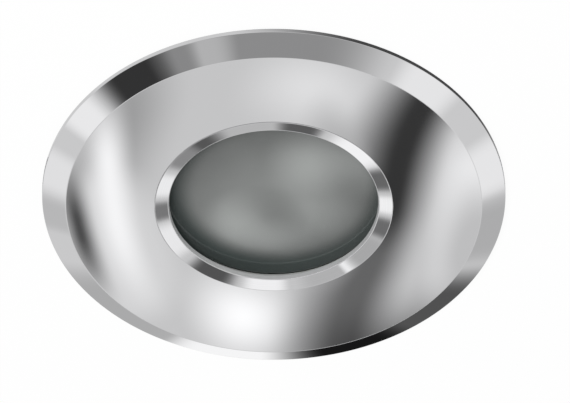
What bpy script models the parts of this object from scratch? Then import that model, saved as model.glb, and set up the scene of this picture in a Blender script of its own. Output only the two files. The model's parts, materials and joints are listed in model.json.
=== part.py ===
"""Recessed ceiling downlight with a chromed trim plate, a frosted window and two sprung clips.

The origin is the centre of the ceiling's lower surface. +Z points up into the ceiling void, so the
face looks down, along -Z. Run with: blender --background --python part.py
"""

import math

import bmesh
import bpy
from mathutils import Matrix, Vector

MM = 0.001
FULL_TURN = 2 * math.pi
HALF_TURN = math.pi
QUARTER_TURN = math.pi / 2

# Clearance between pieces that rest on each other, and how far a cutter runs past what it cuts
GAP = 0.3 * MM
OVERRUN = 1.0 * MM
MERGE_DISTANCE = 0.005 * MM

# Facets round a turn, by how large the piece is
PLATE_STEPS = 56
RING_STEPS = 40
CAN_STEPS = 32
SEAL_STEPS = 30
SMALL_STEPS = 20
SCREW_STEPS = 10

# Trim plate: rim, chamfer and face
RIM_BORDER = 2.4 * MM
RIM_HEIGHT = 0.8 * MM
CHAMFER_WIDTH = 4.55 * MM
CHAMFER_HEIGHT = 2.55 * MM
FACE_DOME = 0.15 * MM
FACE_WALL = 2.0 * MM

# Ceiling gasket, stuck in a rebate behind the rim and a little proud of it
CUTOUT_CLEARANCE = 3.5 * MM
GASKET_SETBACK = 0.7 * MM
GASKET_WIDTH = 4.4 * MM
GASKET_THICKNESS = 0.9 * MM
GASKET_PROUD = 0.4 * MM

# Retaining ring: flange with a funnel face, lip and threaded skirt
WINDOW_RADIUS = 20.46 * MM
FLANGE_REACH = 1.1 * MM
FUNNEL_DEPTH = 1.05 * MM
RING_PROUD = 0.15 * MM
FLANGE_THICKNESS = 0.75 * MM
LIP_HEIGHT = 0.6 * MM
SKIRT_WALL = 0.6 * MM

# Thread of the skirt: a right-hand ridge of square section on edge, and its groove in the plate
THREAD_PITCH = 2.5 * MM
THREAD_RADIUS = 0.45 * MM
THREAD_TURNS = 1.25
THREAD_POINTS_PER_TURN = 36
THREAD_START = 0.9 * MM
THREAD_END = 0.675 * MM

# Window stack behind the lip
GLASS_EDGE = 0.74 * MM
GLASS_THICKNESS = 3.0 * MM
LOWER_SEAL_THICKNESS = 0.5 * MM
LOWER_SEAL_WIDTH = 0.6 * MM
UPPER_SEAL_THICKNESS = 1.0 * MM
UPPER_SEAL_WIDTH = 2.9 * MM

# Lamp seat and collar behind the face
SEAT_WIDTH = 2.2 * MM
SEAT_THICKNESS = 2.0 * MM
SEAT_LEDGE_HEIGHT = 1.3 * MM
LAMP_ROOM = 2.8 * MM
COLLAR_WALL = 2.0 * MM
COLLAR_TOP = 12.0 * MM

# Screw bosses round the collar
HOUSING_SCREWS = 4
BOSS_OUTSET = 1.2 * MM
BOSS_RADIUS = 3.0 * MM
BOSS_HOLE_DEPTH = 9.0 * MM

# Lamp: reflector with its lens, capsule, base and two pins
LAMP_RADIUS = 25.0 * MM
LAMP_RIM_HEIGHT = 3.2 * MM
LAMP_BOWL_HEIGHT = 26.0 * MM
LAMP_NECK_RADIUS = 9.6 * MM
LAMP_NECK_HEIGHT = 6.0 * MM
LAMP_WALL = 1.5 * MM
BOWL_POINTS = 6
LENS_THICKNESS = 1.8 * MM
LENS_EDGE = 1.5 * MM
LAMP_BASE_RADIUS = 11.0 * MM
LAMP_BASE_HEIGHT = 9.3 * MM
LAMP_SPIGOT_DEPTH = 4.0 * MM
LAMP_BASE_TAPER = 1.4 * MM
CAPSULE_RADIUS = 4.6 * MM
CAPSULE_LENGTH = 15.0 * MM
CAPSULE_STEM_RADIUS = 2.4 * MM
CAPSULE_STEM_LENGTH = 5.0 * MM
CAPSULE_POINTS = 5
PIN_SPACING = 10.0 * MM
PIN_NECK_RADIUS = 1.5 * MM
PIN_HEAD_RADIUS = 2.4 * MM
PIN_HEAD_HEIGHT = 3.0 * MM
PIN_HEAD_ROUND = 0.6 * MM

# Lampholder: ceramic body with a slot on an arc for each pin, and a contact blade above each
HOLDER_RADIUS = 13.6 * MM
HOLDER_ROUND = 1.0 * MM
HOLDER_LEDGE = 3.0 * MM
HOLDER_ROOF = 5.4 * MM
PIN_TRAVEL = 1.0 * MM
LAMP_TWIST = math.radians(25.0)
ARC_POINTS = 7
CONTACT_THICKNESS = 0.7 * MM

# Steel strap that carries the holder under the can's top
STRAP_WIDTH = 10.0 * MM
STRAP_THICKNESS = 1.0 * MM
STRAP_BORDER = 0.9 * MM
STRAP_CRANK = 2.6 * MM
STRAP_SETBACK = 3.4 * MM
STRAP_END = 3.2 * MM
STRAP_RISE = 2.8 * MM
STRAP_ROOM = 1.9 * MM
HOLDER_SCREW_PLACE = 8.0 * MM
HOLDER_GRIP = 3.8 * MM

# Rear can: spigot, flange with ears, ribbed wall and cone
SPIGOT_CLEARANCE = 0.4 * MM
CAN_STEP = 0.5 * MM
CAN_WALL = 1.7 * MM
CAN_FLANGE_THICKNESS = 2.0 * MM
CAN_SHOULDER_DROP = 9.0 * MM
CAN_TOP_WALL = 2.0 * MM
CAN_EAR_RADIUS = 3.2 * MM
RIBS = 16
RIB_REACH = 2.2 * MM
RIB_THICKNESS = 1.4 * MM
RIB_LIFT = 8.0 * MM
RIB_TOP_DROP = 3.0 * MM
HOUSING_SEAL_THICKNESS = 0.8 * MM

# Screws, M2.5 with slotted pan heads
SCREW_SHANK_RADIUS = 1.2 * MM
SCREW_HEAD_RADIUS = 2.1 * MM
SCREW_HEAD_HEIGHT = 1.4 * MM
SCREW_HEAD_ROUND = 0.5 * MM
SCREW_SLOT_WIDTH = 0.6 * MM
SCREW_SLOT_DEPTH = 0.7 * MM
SCREW_HOLE_RADIUS = SCREW_SHANK_RADIUS + GAP
HOUSING_SCREW_LENGTH = 9.5 * MM

# Terminal box on the can, with its lid
BOX_END_ROOM = 1.1 * MM
BOX_SIDE_ROOM = 1.1 * MM
BOX_HEADROOM = 0.3 * MM
BOX_WALL = 1.8 * MM
BOX_CORNER = 3.0 * MM
LID_THICKNESS = 2.4 * MM
LID_PLUG_HEIGHT = 1.2 * MM
PILLAR_RADIUS = 2.6 * MM
PILLAR_HOLE_DEPTH = 7.0 * MM
LID_SCREW_LENGTH = 8.0 * MM
BOX_SCREW_LENGTH = 7.4 * MM

# Terminal block with one screw for each pole
BLOCK_END = 4.4 * MM
BLOCK_WIDTH = 11.0 * MM
BLOCK_HEIGHT = 10.0 * MM
BLOCK_OFFSET = 8.6 * MM
BLOCK_EDGE = 0.8 * MM
POLE_SPACING = 7.6 * MM
POLE_HOLE_RADIUS = 1.9 * MM
POLE_HOLE_DEPTH = 6.5 * MM
POLE_WIRE_RADIUS = 1.5 * MM
POLE_WIRE_HEIGHT = 3.4 * MM
POLE_SCREW_RADIUS = 1.5 * MM
POLE_SCREW_LENGTH = 3.2 * MM
POLE_SCREW_SUNK = 0.6 * MM

# Leads, and the grommet that they pass through
LEAD_RADIUS = 0.8 * MM
LEAD_SPREAD = 1.3 * MM
LEAD_OFFSET = -8.0 * MM
LEAD_FOOT = 3.0 * MM
LEAD_BEND = 3.0 * MM
LEAD_POINTS_PER_LEG = 3
GROMMET_BORE = 3.0 * MM
GROMMET_NECK_RADIUS = 4.2 * MM
GROMMET_FLANGE_RADIUS = 6.0 * MM
GROMMET_FLANGE_THICKNESS = 1.0 * MM
EARTH_SCREW_X = 10.5 * MM
EARTH_SCREW_Y = -10.0 * MM
EARTH_SCREW_LENGTH = 4.0 * MM

# Cable gland in the box's end wall
GLAND_CLEARANCE = 0.4 * MM
GLAND_BORE = 4.1 * MM
GLAND_INNER_LENGTH = 2.2 * MM
GLAND_NECK_WALL = 0.7 * MM
GLAND_HEX_BORDER = 0.2 * MM
GLAND_HEX_LENGTH = 3.5 * MM
GLAND_NECK_LENGTH = 8.0 * MM
GLAND_SEAL_RELIEF = 0.2 * MM
GLAND_SEAL_WALL = 0.7 * MM
GLAND_SEAL_LENGTH = 5.0 * MM
GLAND_NUT_WALL = 1.3 * MM
GLAND_NUT_END = 1.4 * MM
GLAND_NUT_ROUND = 2.0 * MM
HEX_SIDES = 6

# Clips: bracket on the collar, pin, torsion spring, arm and sleeve
PAD_REACH = 0.3 * MM
PAD_BORDER = 0.4 * MM
BRACKET_BASE = 0.8 * MM
BRACKET_BOTTOM = 0.4 * MM
BRACKET_TOP = 15.0 * MM
EAR_THICKNESS = 1.0 * MM
EAR_RADIUS = 2.6 * MM
COIL_CLEARANCE = 0.4 * MM
COIL_END_ROOM = 1.0 * MM
ARM_CLEARANCE = 0.4 * MM
PIN_RADIUS = 1.0 * MM
PIN_HEAD = 1.8 * MM
PIN_HEAD_LENGTH = 0.8 * MM
CLIP_SCREW_HEIGHT = 2.5 * MM
CLIP_SCREW_HEAD_RADIUS = 1.8 * MM
CLIP_SCREW_LENGTH = 3.4 * MM
WIRE_RADIUS = 0.4 * MM
COIL_RADIUS = 1.8 * MM
COIL_PITCH = 1.3 * MM
COIL_TURNS = 5.25
COIL_POINTS_PER_TURN = 10
COIL_TEST_STEPS = 6
SPRING_FOOT = 6.0 * MM
SPRING_ARM = 14.0 * MM
ARM_LENGTH = 36.0 * MM
ARM_THICKNESS = 0.8 * MM
ARM_HEEL = 1.0 * MM
LUG_THICKNESS = 0.9 * MM
LUG_RADIUS = 2.2 * MM
LUG_FOOT = 6.0 * MM
REST_SLOPE = math.radians(4.0)
SLEEVE_LENGTH = 13.0 * MM
SLEEVE_WALL = 1.0 * MM
SLEEVE_ROUND = 0.9 * MM

# Radii that follow, from the window outwards
GLASS_RADIUS = WINDOW_RADIUS + GLASS_EDGE
SKIRT_INNER_RADIUS = GLASS_RADIUS + GAP
SKIRT_RADIUS = SKIRT_INNER_RADIUS + SKIRT_WALL
BORE_RADIUS = SKIRT_RADIUS + GAP
RING_RADIUS = SKIRT_RADIUS + FLANGE_REACH
UPPER_SEAL_INNER_RADIUS = GLASS_RADIUS - UPPER_SEAL_WIDTH
SEAT_INNER_RADIUS = GLASS_RADIUS - SEAT_WIDTH

# Radii that follow, from the lamp outwards to the rim
COLLAR_INNER_RADIUS = LAMP_RADIUS + LAMP_ROOM
COLLAR_RADIUS = COLLAR_INNER_RADIUS + COLLAR_WALL
BOSS_CIRCLE_RADIUS = COLLAR_RADIUS + BOSS_OUTSET
CUTOUT_RADIUS = BOSS_CIRCLE_RADIUS + BOSS_RADIUS + CUTOUT_CLEARANCE
GASKET_INNER_RADIUS = CUTOUT_RADIUS + GASKET_SETBACK
PLATE_RADIUS = GASKET_INNER_RADIUS + GASKET_WIDTH + RIM_BORDER
CAN_SPIGOT_RADIUS = COLLAR_INNER_RADIUS - GAP
CAN_RADIUS = CAN_SPIGOT_RADIUS + CAN_STEP

# Heights that follow, from the ceiling plane down to the face
RIM_BACK = -GASKET_PROUD
RIM_FRONT = RIM_BACK - RIM_HEIGHT
FACE_EDGE = RIM_FRONT - CHAMFER_HEIGHT
FACE_EDGE_RADIUS = PLATE_RADIUS - CHAMFER_WIDTH
FACE_CENTRE = FACE_EDGE - FACE_DOME
FACE_BACK = FACE_EDGE + FACE_WALL
REBATE_FLOOR = -GASKET_THICKNESS - GAP

# Ring and window stack, from the ring's front upwards
RING_FRONT = FACE_CENTRE - RING_PROUD
RING_FLOOR = RING_FRONT + FLANGE_THICKNESS
RING_SEAT = RING_FLOOR + GAP
LIP_FRONT = RING_FRONT + FUNNEL_DEPTH
LIP_TOP = LIP_FRONT + LIP_HEIGHT
SKIRT_TOP = RING_FLOOR + THREAD_START + THREAD_PITCH * THREAD_TURNS + THREAD_END
LOWER_SEAL_BOTTOM = LIP_TOP + GAP
GLASS_BOTTOM = LOWER_SEAL_BOTTOM + LOWER_SEAL_THICKNESS + GAP
GLASS_TOP = GLASS_BOTTOM + GLASS_THICKNESS
UPPER_SEAL_BOTTOM = GLASS_TOP + GAP
SEAT_FRONT = UPPER_SEAL_BOTTOM + UPPER_SEAL_THICKNESS + GAP
SEAT_BACK = SEAT_FRONT + SEAT_THICKNESS
LEDGE_TOP = SEAT_BACK + SEAT_LEDGE_HEIGHT

# Lamp and holder
LAMP_FRONT = SEAT_BACK + GAP
LAMP_RIM_TOP = LAMP_FRONT + LAMP_RIM_HEIGHT
LAMP_BOWL_TOP = LAMP_RIM_TOP + LAMP_BOWL_HEIGHT
LAMP_NECK_TOP = LAMP_BOWL_TOP + LAMP_NECK_HEIGHT
LAMP_NECK_BORE = LAMP_NECK_RADIUS - LAMP_WALL
LAMP_BASE_BOTTOM = LAMP_NECK_TOP + GAP
LAMP_BASE_TOP = LAMP_BASE_BOTTOM + LAMP_BASE_HEIGHT
LAMP_SPIGOT_RADIUS = LAMP_NECK_BORE - GAP
HOLDER_BOTTOM = LAMP_BASE_TOP + GAP
LEDGE_SIDE = HOLDER_BOTTOM + HOLDER_LEDGE
PIN_NECK_LENGTH = LEDGE_SIDE + 2 * GAP - LAMP_BASE_TOP
PIN_TIP = LAMP_BASE_TOP + PIN_NECK_LENGTH + PIN_HEAD_HEIGHT
CAVITY_TOP = PIN_TIP + PIN_TRAVEL + CONTACT_THICKNESS + GAP
HOLDER_TOP = CAVITY_TOP + HOLDER_ROOF
CONTACT_SIDE = PIN_HEAD_RADIUS * math.sqrt(2)
STRAP_BOTTOM = HOLDER_TOP + GAP
STRAP_END_BOTTOM = STRAP_BOTTOM + STRAP_RISE
CAN_CEILING = STRAP_END_BOTTOM + STRAP_THICKNESS + GAP
CAN_TOP = CAN_CEILING + CAN_TOP_WALL

# Strap, from the holder's screws out to its ends
HOLDER_SCREW_LENGTH = HOLDER_GRIP + STRAP_THICKNESS + 2 * GAP
STRAP_MIDDLE = HOLDER_SCREW_PLACE + SCREW_HEAD_RADIUS + STRAP_BORDER
STRAP_END_START = STRAP_MIDDLE + STRAP_CRANK
BOX_SCREW_PLACE = STRAP_END_START + STRAP_SETBACK
STRAP_HALF_LENGTH = BOX_SCREW_PLACE + STRAP_END
CAN_TOP_RADIUS = math.hypot(STRAP_HALF_LENGTH, STRAP_WIDTH / 2) + STRAP_ROOM + CAN_WALL

# Can
SEAL_BOTTOM = COLLAR_TOP + GAP
FLANGE_BOTTOM = SEAL_BOTTOM + HOUSING_SEAL_THICKNESS + GAP
FLANGE_TOP = FLANGE_BOTTOM + CAN_FLANGE_THICKNESS
SPIGOT_END = LEDGE_TOP + SPIGOT_CLEARANCE
CAN_BORE = CAN_RADIUS - CAN_WALL
SHOULDER = CAN_TOP - CAN_SHOULDER_DROP

# Cable gland
GLAND_SEAL_BORE = GLAND_BORE + GLAND_SEAL_RELIEF
GLAND_SEAL_RADIUS = GLAND_SEAL_BORE + GLAND_SEAL_WALL
GLAND_THREAD_RADIUS = GLAND_SEAL_RADIUS + GAP + GLAND_NECK_WALL
GLAND_NUT_RADIUS = GLAND_THREAD_RADIUS + GAP + GLAND_NUT_WALL
GLAND_HEX_RADIUS = GLAND_NUT_RADIUS + GLAND_HEX_BORDER
GLAND_HEIGHT = BOX_WALL + GAP + SCREW_HEAD_HEIGHT + GLAND_CLEARANCE + GLAND_THREAD_RADIUS

# Terminal box
BOX_LENGTH = 2 * (BOX_SCREW_PLACE + SCREW_HEAD_RADIUS + BOX_END_ROOM + BOX_WALL)
BOX_WIDTH = 2 * (BLOCK_OFFSET + BLOCK_WIDTH / 2 + BOX_SIDE_ROOM + BOX_WALL)
BOX_HEIGHT = GLAND_HEIGHT + GLAND_HEX_RADIUS + BOX_HEADROOM
BLOCK_LENGTH = 2 * (POLE_SPACING + BLOCK_END)
BOX_BOTTOM = CAN_TOP + GAP
BOX_FLOOR = BOX_BOTTOM + BOX_WALL
BOX_TOP = BOX_BOTTOM + BOX_HEIGHT
LID_BOTTOM = BOX_TOP + GAP
LID_TOP = LID_BOTTOM + LID_THICKNESS
PILLAR_X = BOX_LENGTH / 2 - BOX_WALL - PILLAR_RADIUS / 2
PILLAR_Y = BOX_WIDTH / 2 - BOX_WALL - PILLAR_RADIUS / 2
GLAND_Z = BOX_BOTTOM + GLAND_HEIGHT
BLOCK_BOTTOM = BOX_FLOOR + GAP
BLOCK_TOP = BLOCK_BOTTOM + BLOCK_HEIGHT
POLE_WIRE_Z = BLOCK_BOTTOM + POLE_WIRE_HEIGHT

# Clip, outwards from the collar, then along the pin from the coil
PAD_FACE = COLLAR_RADIUS + PAD_REACH
BRACKET_FACE = PAD_FACE + GAP
BRACKET_FRONT = BRACKET_FACE + BRACKET_BASE
PIVOT_OUT = BRACKET_FRONT + COIL_CLEARANCE + WIRE_RADIUS + COIL_RADIUS
ARM_TOP = -COIL_RADIUS - WIRE_RADIUS - GAP
ARM_BOTTOM = ARM_TOP - ARM_THICKNESS
PIVOT_HEIGHT = CLIP_SCREW_HEIGHT + CLIP_SCREW_HEAD_RADIUS + ARM_CLEARANCE - ARM_BOTTOM
COIL_HALF = COIL_PITCH * COIL_TURNS / 2
LUG_INNER = COIL_HALF + WIRE_RADIUS + COIL_END_ROOM
LUG_OUTER = LUG_INNER + LUG_THICKNESS
EAR_INNER = LUG_OUTER + GAP
EAR_OUTER = EAR_INNER + EAR_THICKNESS
PAD_HALF_WIDTH = EAR_OUTER + PAD_BORDER

PARTS = bpy.data.collections.new("recessed_light")
CUTTERS = bpy.data.collections.new("cutters")


def clear_scene():
    for item in list(bpy.data.objects):
        bpy.data.objects.remove(item, do_unlink=True)
    bpy.context.scene.collection.children.link(PARTS)
    bpy.context.scene.collection.children.link(CUTTERS)


def finish(name, colour, roughness, metallic):
    """A plain surface: colour is red, green and blue in linear light."""
    material = bpy.data.materials.new(name)
    material.use_nodes = True
    shader = material.node_tree.nodes["Principled BSDF"]
    shader.inputs["Base Color"].default_value = (*colour, 1.0)
    shader.inputs["Roughness"].default_value = roughness
    shader.inputs["Metallic"].default_value = metallic
    material.diffuse_color = (*colour, 1.0)
    return material


def make_finishes():
    return {
        "chrome": finish("chrome_plate", (0.80, 0.80, 0.81), 0.05, 1.0),
        "turned": finish("turned_chrome", (0.76, 0.76, 0.77), 0.14, 1.0),
        "frosted": finish("frosted_glass", (0.42, 0.45, 0.44), 0.45, 0.0),
        "clear": finish("clear_glass", (0.85, 0.88, 0.90), 0.03, 0.0),
        "mirror": finish("mirror_coat", (0.75, 0.75, 0.78), 0.08, 1.0),
        "foam": finish("grey_foam", (0.16, 0.16, 0.17), 0.90, 0.0),
        "silicone": finish("black_silicone", (0.02, 0.02, 0.022), 0.60, 0.0),
        "pale_silicone": finish("pale_silicone", (0.50, 0.51, 0.50), 0.50, 0.0),
        "ceramic": finish("white_ceramic", (0.72, 0.70, 0.66), 0.45, 0.0),
        "zinc": finish("zinc_plated_steel", (0.58, 0.58, 0.60), 0.30, 1.0),
        "spring": finish("spring_steel", (0.30, 0.30, 0.32), 0.28, 1.0),
        "brass": finish("brass", (0.71, 0.52, 0.24), 0.25, 1.0),
        "casting": finish("cast_aluminium", (0.50, 0.50, 0.52), 0.42, 1.0),
        "nylon": finish("black_nylon", (0.03, 0.03, 0.032), 0.50, 0.0),
        "grey_nylon": finish("grey_nylon", (0.23, 0.24, 0.25), 0.50, 0.0),
        "block": finish("natural_nylon", (0.72, 0.71, 0.66), 0.45, 0.0),
        "brown": finish("brown_lead", (0.16, 0.055, 0.02), 0.45, 0.0),
        "blue": finish("blue_lead", (0.02, 0.10, 0.38), 0.45, 0.0),
        "green": finish("green_lead", (0.05, 0.28, 0.06), 0.45, 0.0),
    }


def add(name, data, material=None):
    """A part in the parts collection, or a hidden cutter when it has no material."""
    item = bpy.data.objects.new(name, data)
    if material is None:
        CUTTERS.objects.link(item)
        item.hide_render = True
        item.display_type = "WIRE"
    else:
        PARTS.objects.link(item)
        data.materials.append(material)
    return item


def place(item, location=(0, 0, 0), rotation=(0, 0, 0), parent=None):
    item.location = location
    item.rotation_euler = rotation
    item.parent = parent
    return item


def turned(name, outline, steps, material=None, closed=True):
    """A turned shape: radius and height pairs, down the outer side and up the inner one."""
    mesh = bpy.data.meshes.new(name)
    count = len(outline)
    edges = [(i, (i + 1) % count) for i in range(count if closed else count - 1)]
    mesh.from_pydata([(radius, 0, height) for radius, height in outline], edges, [])
    item = add(name, mesh, material)
    screw = item.modifiers.new("Turn", "SCREW")
    screw.axis = "Z"
    screw.angle = FULL_TURN
    screw.steps = steps
    screw.render_steps = steps
    screw.use_merge_vertices = True
    screw.merge_threshold = MERGE_DISTANCE
    screw.use_smooth_shade = True
    return item


def drum(name, radius, low, high, material=None, sides=SMALL_STEPS, centre=(0, 0)):
    """An upright cylinder from height low to height high."""
    mesh = bpy.data.meshes.new(name)
    shape = bmesh.new()
    bmesh.ops.create_cone(
        shape,
        cap_ends=True,
        segments=sides,
        radius1=radius,
        radius2=radius,
        depth=high - low,
        matrix=Matrix.Translation((*centre, (low + high) / 2)),
    )
    shape.to_mesh(mesh)
    shape.free()
    return add(name, mesh, material)


def bore(target, name, radius, low, high, centre=(0, 0)):
    """Cuts an upright round hole in target, from height low to height high."""
    cut(target, drum(name, radius, low, high, centre=centre, sides=SCREW_STEPS))


def block(name, low, high, material=None, edge=0, corner=0):
    """A box between two corners, with edge rounding all over or on its upright corners alone."""
    size = Vector(high) - Vector(low)
    centre = (Vector(high) + Vector(low)) / 2
    mesh = bpy.data.meshes.new(name)
    shape = bmesh.new()
    bmesh.ops.create_cube(shape, size=1.0)
    bmesh.ops.scale(shape, vec=size, verts=shape.verts)
    bmesh.ops.translate(shape, vec=centre, verts=shape.verts)
    if corner:
        upright = [e for e in shape.edges if is_upright(e)]
        bmesh.ops.bevel(
            shape, geom=upright, offset=corner, segments=4, profile=0.5, affect="EDGES"
        )
    shape.to_mesh(mesh)
    shape.free()
    item = add(name, mesh, material)
    if edge:
        bevel = item.modifiers.new("Edges", "BEVEL")
        bevel.width = edge
        bevel.segments = 2
    return item


def is_upright(edge):
    first, second = (vertex.co for vertex in edge.verts)
    return abs(first.x - second.x) < MERGE_DISTANCE and abs(first.y - second.y) < MERGE_DISTANCE


def tube(name, points, radius, material, resolution):
    """A wire along points, with filled ends, as a mesh. Resolution 0 gives it four sides."""
    curve = bpy.data.curves.new(name + "_line", "CURVE")
    curve.dimensions = "3D"
    curve.twist_mode = "MINIMUM" if resolution else "Z_UP"
    curve.bevel_depth = radius
    curve.bevel_resolution = resolution
    curve.use_fill_caps = True
    line = curve.splines.new("POLY")
    line.points.add(len(points) - 1)
    for point, place_of_point in zip(line.points, points):
        point.co = (*place_of_point, 1)
    return solid_from_curve(name, curve, material)


def sheet(name, outline, thickness, material=None):
    """A flat outline in X and Y, thickened evenly about Z = 0, as a mesh."""
    curve = bpy.data.curves.new(name + "_line", "CURVE")
    curve.dimensions = "2D"
    curve.fill_mode = "BOTH"
    curve.extrude = thickness / 2
    line = curve.splines.new("POLY")
    line.points.add(len(outline) - 1)
    for point, (x, y) in zip(line.points, outline):
        point.co = (x, y, 0, 1)
    line.use_cyclic_u = True
    return solid_from_curve(name, curve, material)


def solid_from_curve(name, curve, material):
    """The curve's evaluated surface as one closed mesh with its caps welded on."""
    guide = bpy.data.objects.new(name + "_line", curve)
    CUTTERS.objects.link(guide)
    graph = bpy.context.evaluated_depsgraph_get()
    mesh = bpy.data.meshes.new_from_object(guide.evaluated_get(graph))
    shape = bmesh.new()
    shape.from_mesh(mesh)
    bmesh.ops.remove_doubles(shape, verts=shape.verts, dist=MERGE_DISTANCE)
    bmesh.ops.recalc_face_normals(shape, faces=shape.faces)
    shape.to_mesh(mesh)
    shape.free()
    bpy.data.objects.remove(guide, do_unlink=True)
    mesh.name = name
    mesh.materials.clear()
    return add(name, mesh, material)


def combine(target, other, operation):
    boolean = target.modifiers.new(other.name, "BOOLEAN")
    boolean.operation = operation
    boolean.solver = "EXACT"
    boolean.object = other


def cut(target, *cutters):
    for cutter in cutters:
        combine(target, cutter, "DIFFERENCE")


def join(target, *pieces):
    for piece in pieces:
        combine(target, piece, "UNION")


def polar(radius, angle):
    return radius * math.cos(angle), radius * math.sin(angle)


def screw_piece(name, material, shank_length, head_radius=SCREW_HEAD_RADIUS):
    """A slotted pan-head screw. Its head stands on Z = 0 and its shank points down."""
    outline = [
        (0, SCREW_HEAD_HEIGHT),
        (head_radius - SCREW_HEAD_ROUND, SCREW_HEAD_HEIGHT),
        (head_radius, SCREW_HEAD_HEIGHT - SCREW_HEAD_ROUND),
        (head_radius, 0),
        (SCREW_SHANK_RADIUS, 0),
        (SCREW_SHANK_RADIUS, -shank_length),
        (0, -shank_length),
    ]
    screw = turned(name, outline, SCREW_STEPS, material, closed=False)
    slot = block(
        name + "_slot",
        (-head_radius - OVERRUN, -SCREW_SLOT_WIDTH / 2, SCREW_HEAD_HEIGHT - SCREW_SLOT_DEPTH),
        (head_radius + OVERRUN, SCREW_SLOT_WIDTH / 2, SCREW_HEAD_HEIGHT + OVERRUN),
    )
    slot.parent = screw
    cut(screw, slot)
    return screw


def helix_points(radius, pitch, first_turn, last_turn, points_per_turn):
    """Points on a right-hand helix about Z, whose turn 0 starts at THREAD_START."""
    count = math.ceil((last_turn - first_turn) * points_per_turn) + 1
    turns = [first_turn + (last_turn - first_turn) * i / (count - 1) for i in range(count)]
    return [(*polar(radius, FULL_TURN * t), RING_FLOOR + THREAD_START + pitch * t) for t in turns]


def boss_angles():
    return [FULL_TURN * (i + 0.5) / HOUSING_SCREWS for i in range(HOUSING_SCREWS)]


def make_trim_plate(finishes):
    rebate_inner = GASKET_INNER_RADIUS - GAP
    rebate_outer = GASKET_INNER_RADIUS + GASKET_WIDTH + GAP
    outline = [
        (PLATE_RADIUS, RIM_BACK),
        (PLATE_RADIUS, RIM_FRONT),
        (FACE_EDGE_RADIUS, FACE_EDGE),
        (RING_RADIUS + GAP, FACE_CENTRE),
        (RING_RADIUS + GAP, RING_SEAT),
        (BORE_RADIUS, RING_SEAT),
        (BORE_RADIUS, SEAT_FRONT),
        (SEAT_INNER_RADIUS, SEAT_FRONT),
        (SEAT_INNER_RADIUS, SEAT_BACK),
        (LAMP_RADIUS + 2 * GAP, SEAT_BACK),
        (LAMP_RADIUS + 2 * GAP, LEDGE_TOP),
        (COLLAR_INNER_RADIUS, LEDGE_TOP),
        (COLLAR_INNER_RADIUS, COLLAR_TOP),
        (COLLAR_RADIUS, COLLAR_TOP),
        (COLLAR_RADIUS, FACE_BACK),
        (rebate_inner, FACE_BACK),
        (rebate_inner, REBATE_FLOOR),
        (rebate_outer, REBATE_FLOOR),
        (rebate_outer, RIM_BACK),
    ]
    plate = turned("trim_plate", outline, PLATE_STEPS, finishes["chrome"])
    root = FACE_BACK - FACE_WALL / 2
    for number, angle in enumerate(boss_angles(), 1):
        centre = polar(BOSS_CIRCLE_RADIUS, angle)
        boss = drum(f"boss_{number}", BOSS_RADIUS, root, COLLAR_TOP, centre=centre)
        join(plate, boss)
    for number, side in enumerate((1, -1), 1):
        inner = COLLAR_INNER_RADIUS + COLLAR_WALL / 2
        low_x, high_x = sorted((side * inner, side * PAD_FACE))
        pad = block(
            f"clip_pad_{number}",
            (low_x, -PAD_HALF_WIDTH, root),
            (high_x, PAD_HALF_WIDTH, COLLAR_TOP),
        )
        join(plate, pad)
    for number, angle in enumerate(boss_angles(), 1):
        centre = polar(BOSS_CIRCLE_RADIUS, angle)
        bottom = COLLAR_TOP - BOSS_HOLE_DEPTH
        bore(plate, f"boss_hole_{number}", SCREW_HOLE_RADIUS, bottom, COLLAR_TOP + OVERRUN, centre)
    for number, side in enumerate((1, -1), 1):
        hole = drum(
            f"clip_hole_{number}",
            SCREW_HOLE_RADIUS,
            -CLIP_SCREW_LENGTH,
            OVERRUN,
            sides=SCREW_STEPS,
        )
        place(hole, (side * PAD_FACE, 0, CLIP_SCREW_HEIGHT), (0, side * QUARTER_TURN, 0))
        cut(plate, hole)
    groove_first = (RING_SEAT - OVERRUN - THREAD_RADIUS - RING_FLOOR - THREAD_START) / THREAD_PITCH
    groove_last = THREAD_TURNS + GAP / THREAD_PITCH
    groove_line = helix_points(
        SKIRT_RADIUS, THREAD_PITCH, groove_first, groove_last, THREAD_POINTS_PER_TURN
    )
    groove = tube("thread_groove", groove_line, THREAD_RADIUS + GAP * math.sqrt(2), None, 0)
    cut(plate, groove)
    return plate


def make_gasket(finishes):
    outer = GASKET_INNER_RADIUS + GASKET_WIDTH
    outline = [
        (outer, 0),
        (outer, -GASKET_THICKNESS),
        (GASKET_INNER_RADIUS, -GASKET_THICKNESS),
        (GASKET_INNER_RADIUS, 0),
    ]
    return turned("ceiling_gasket", outline, SEAL_STEPS, finishes["foam"])


def make_glass_ring(finishes):
    outline = [
        (RING_RADIUS, RING_FLOOR),
        (RING_RADIUS, RING_FRONT),
        (WINDOW_RADIUS, LIP_FRONT),
        (WINDOW_RADIUS, LIP_TOP),
        (SKIRT_INNER_RADIUS, LIP_TOP),
        (SKIRT_INNER_RADIUS, SKIRT_TOP),
        (SKIRT_RADIUS, SKIRT_TOP),
        (SKIRT_RADIUS, RING_FLOOR),
    ]
    ring = turned("glass_ring", outline, RING_STEPS, finishes["turned"])
    ridge_line = helix_points(SKIRT_RADIUS, THREAD_PITCH, 0, THREAD_TURNS, THREAD_POINTS_PER_TURN)
    ridge = tube("thread_ridge", ridge_line, THREAD_RADIUS, None, 0)
    join(ring, ridge)
    return ring


def washer(name, inner, outer, low, high, steps, material):
    outline = [(outer, high), (outer, low), (inner, low), (inner, high)]
    return turned(name, outline, steps, material)


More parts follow.
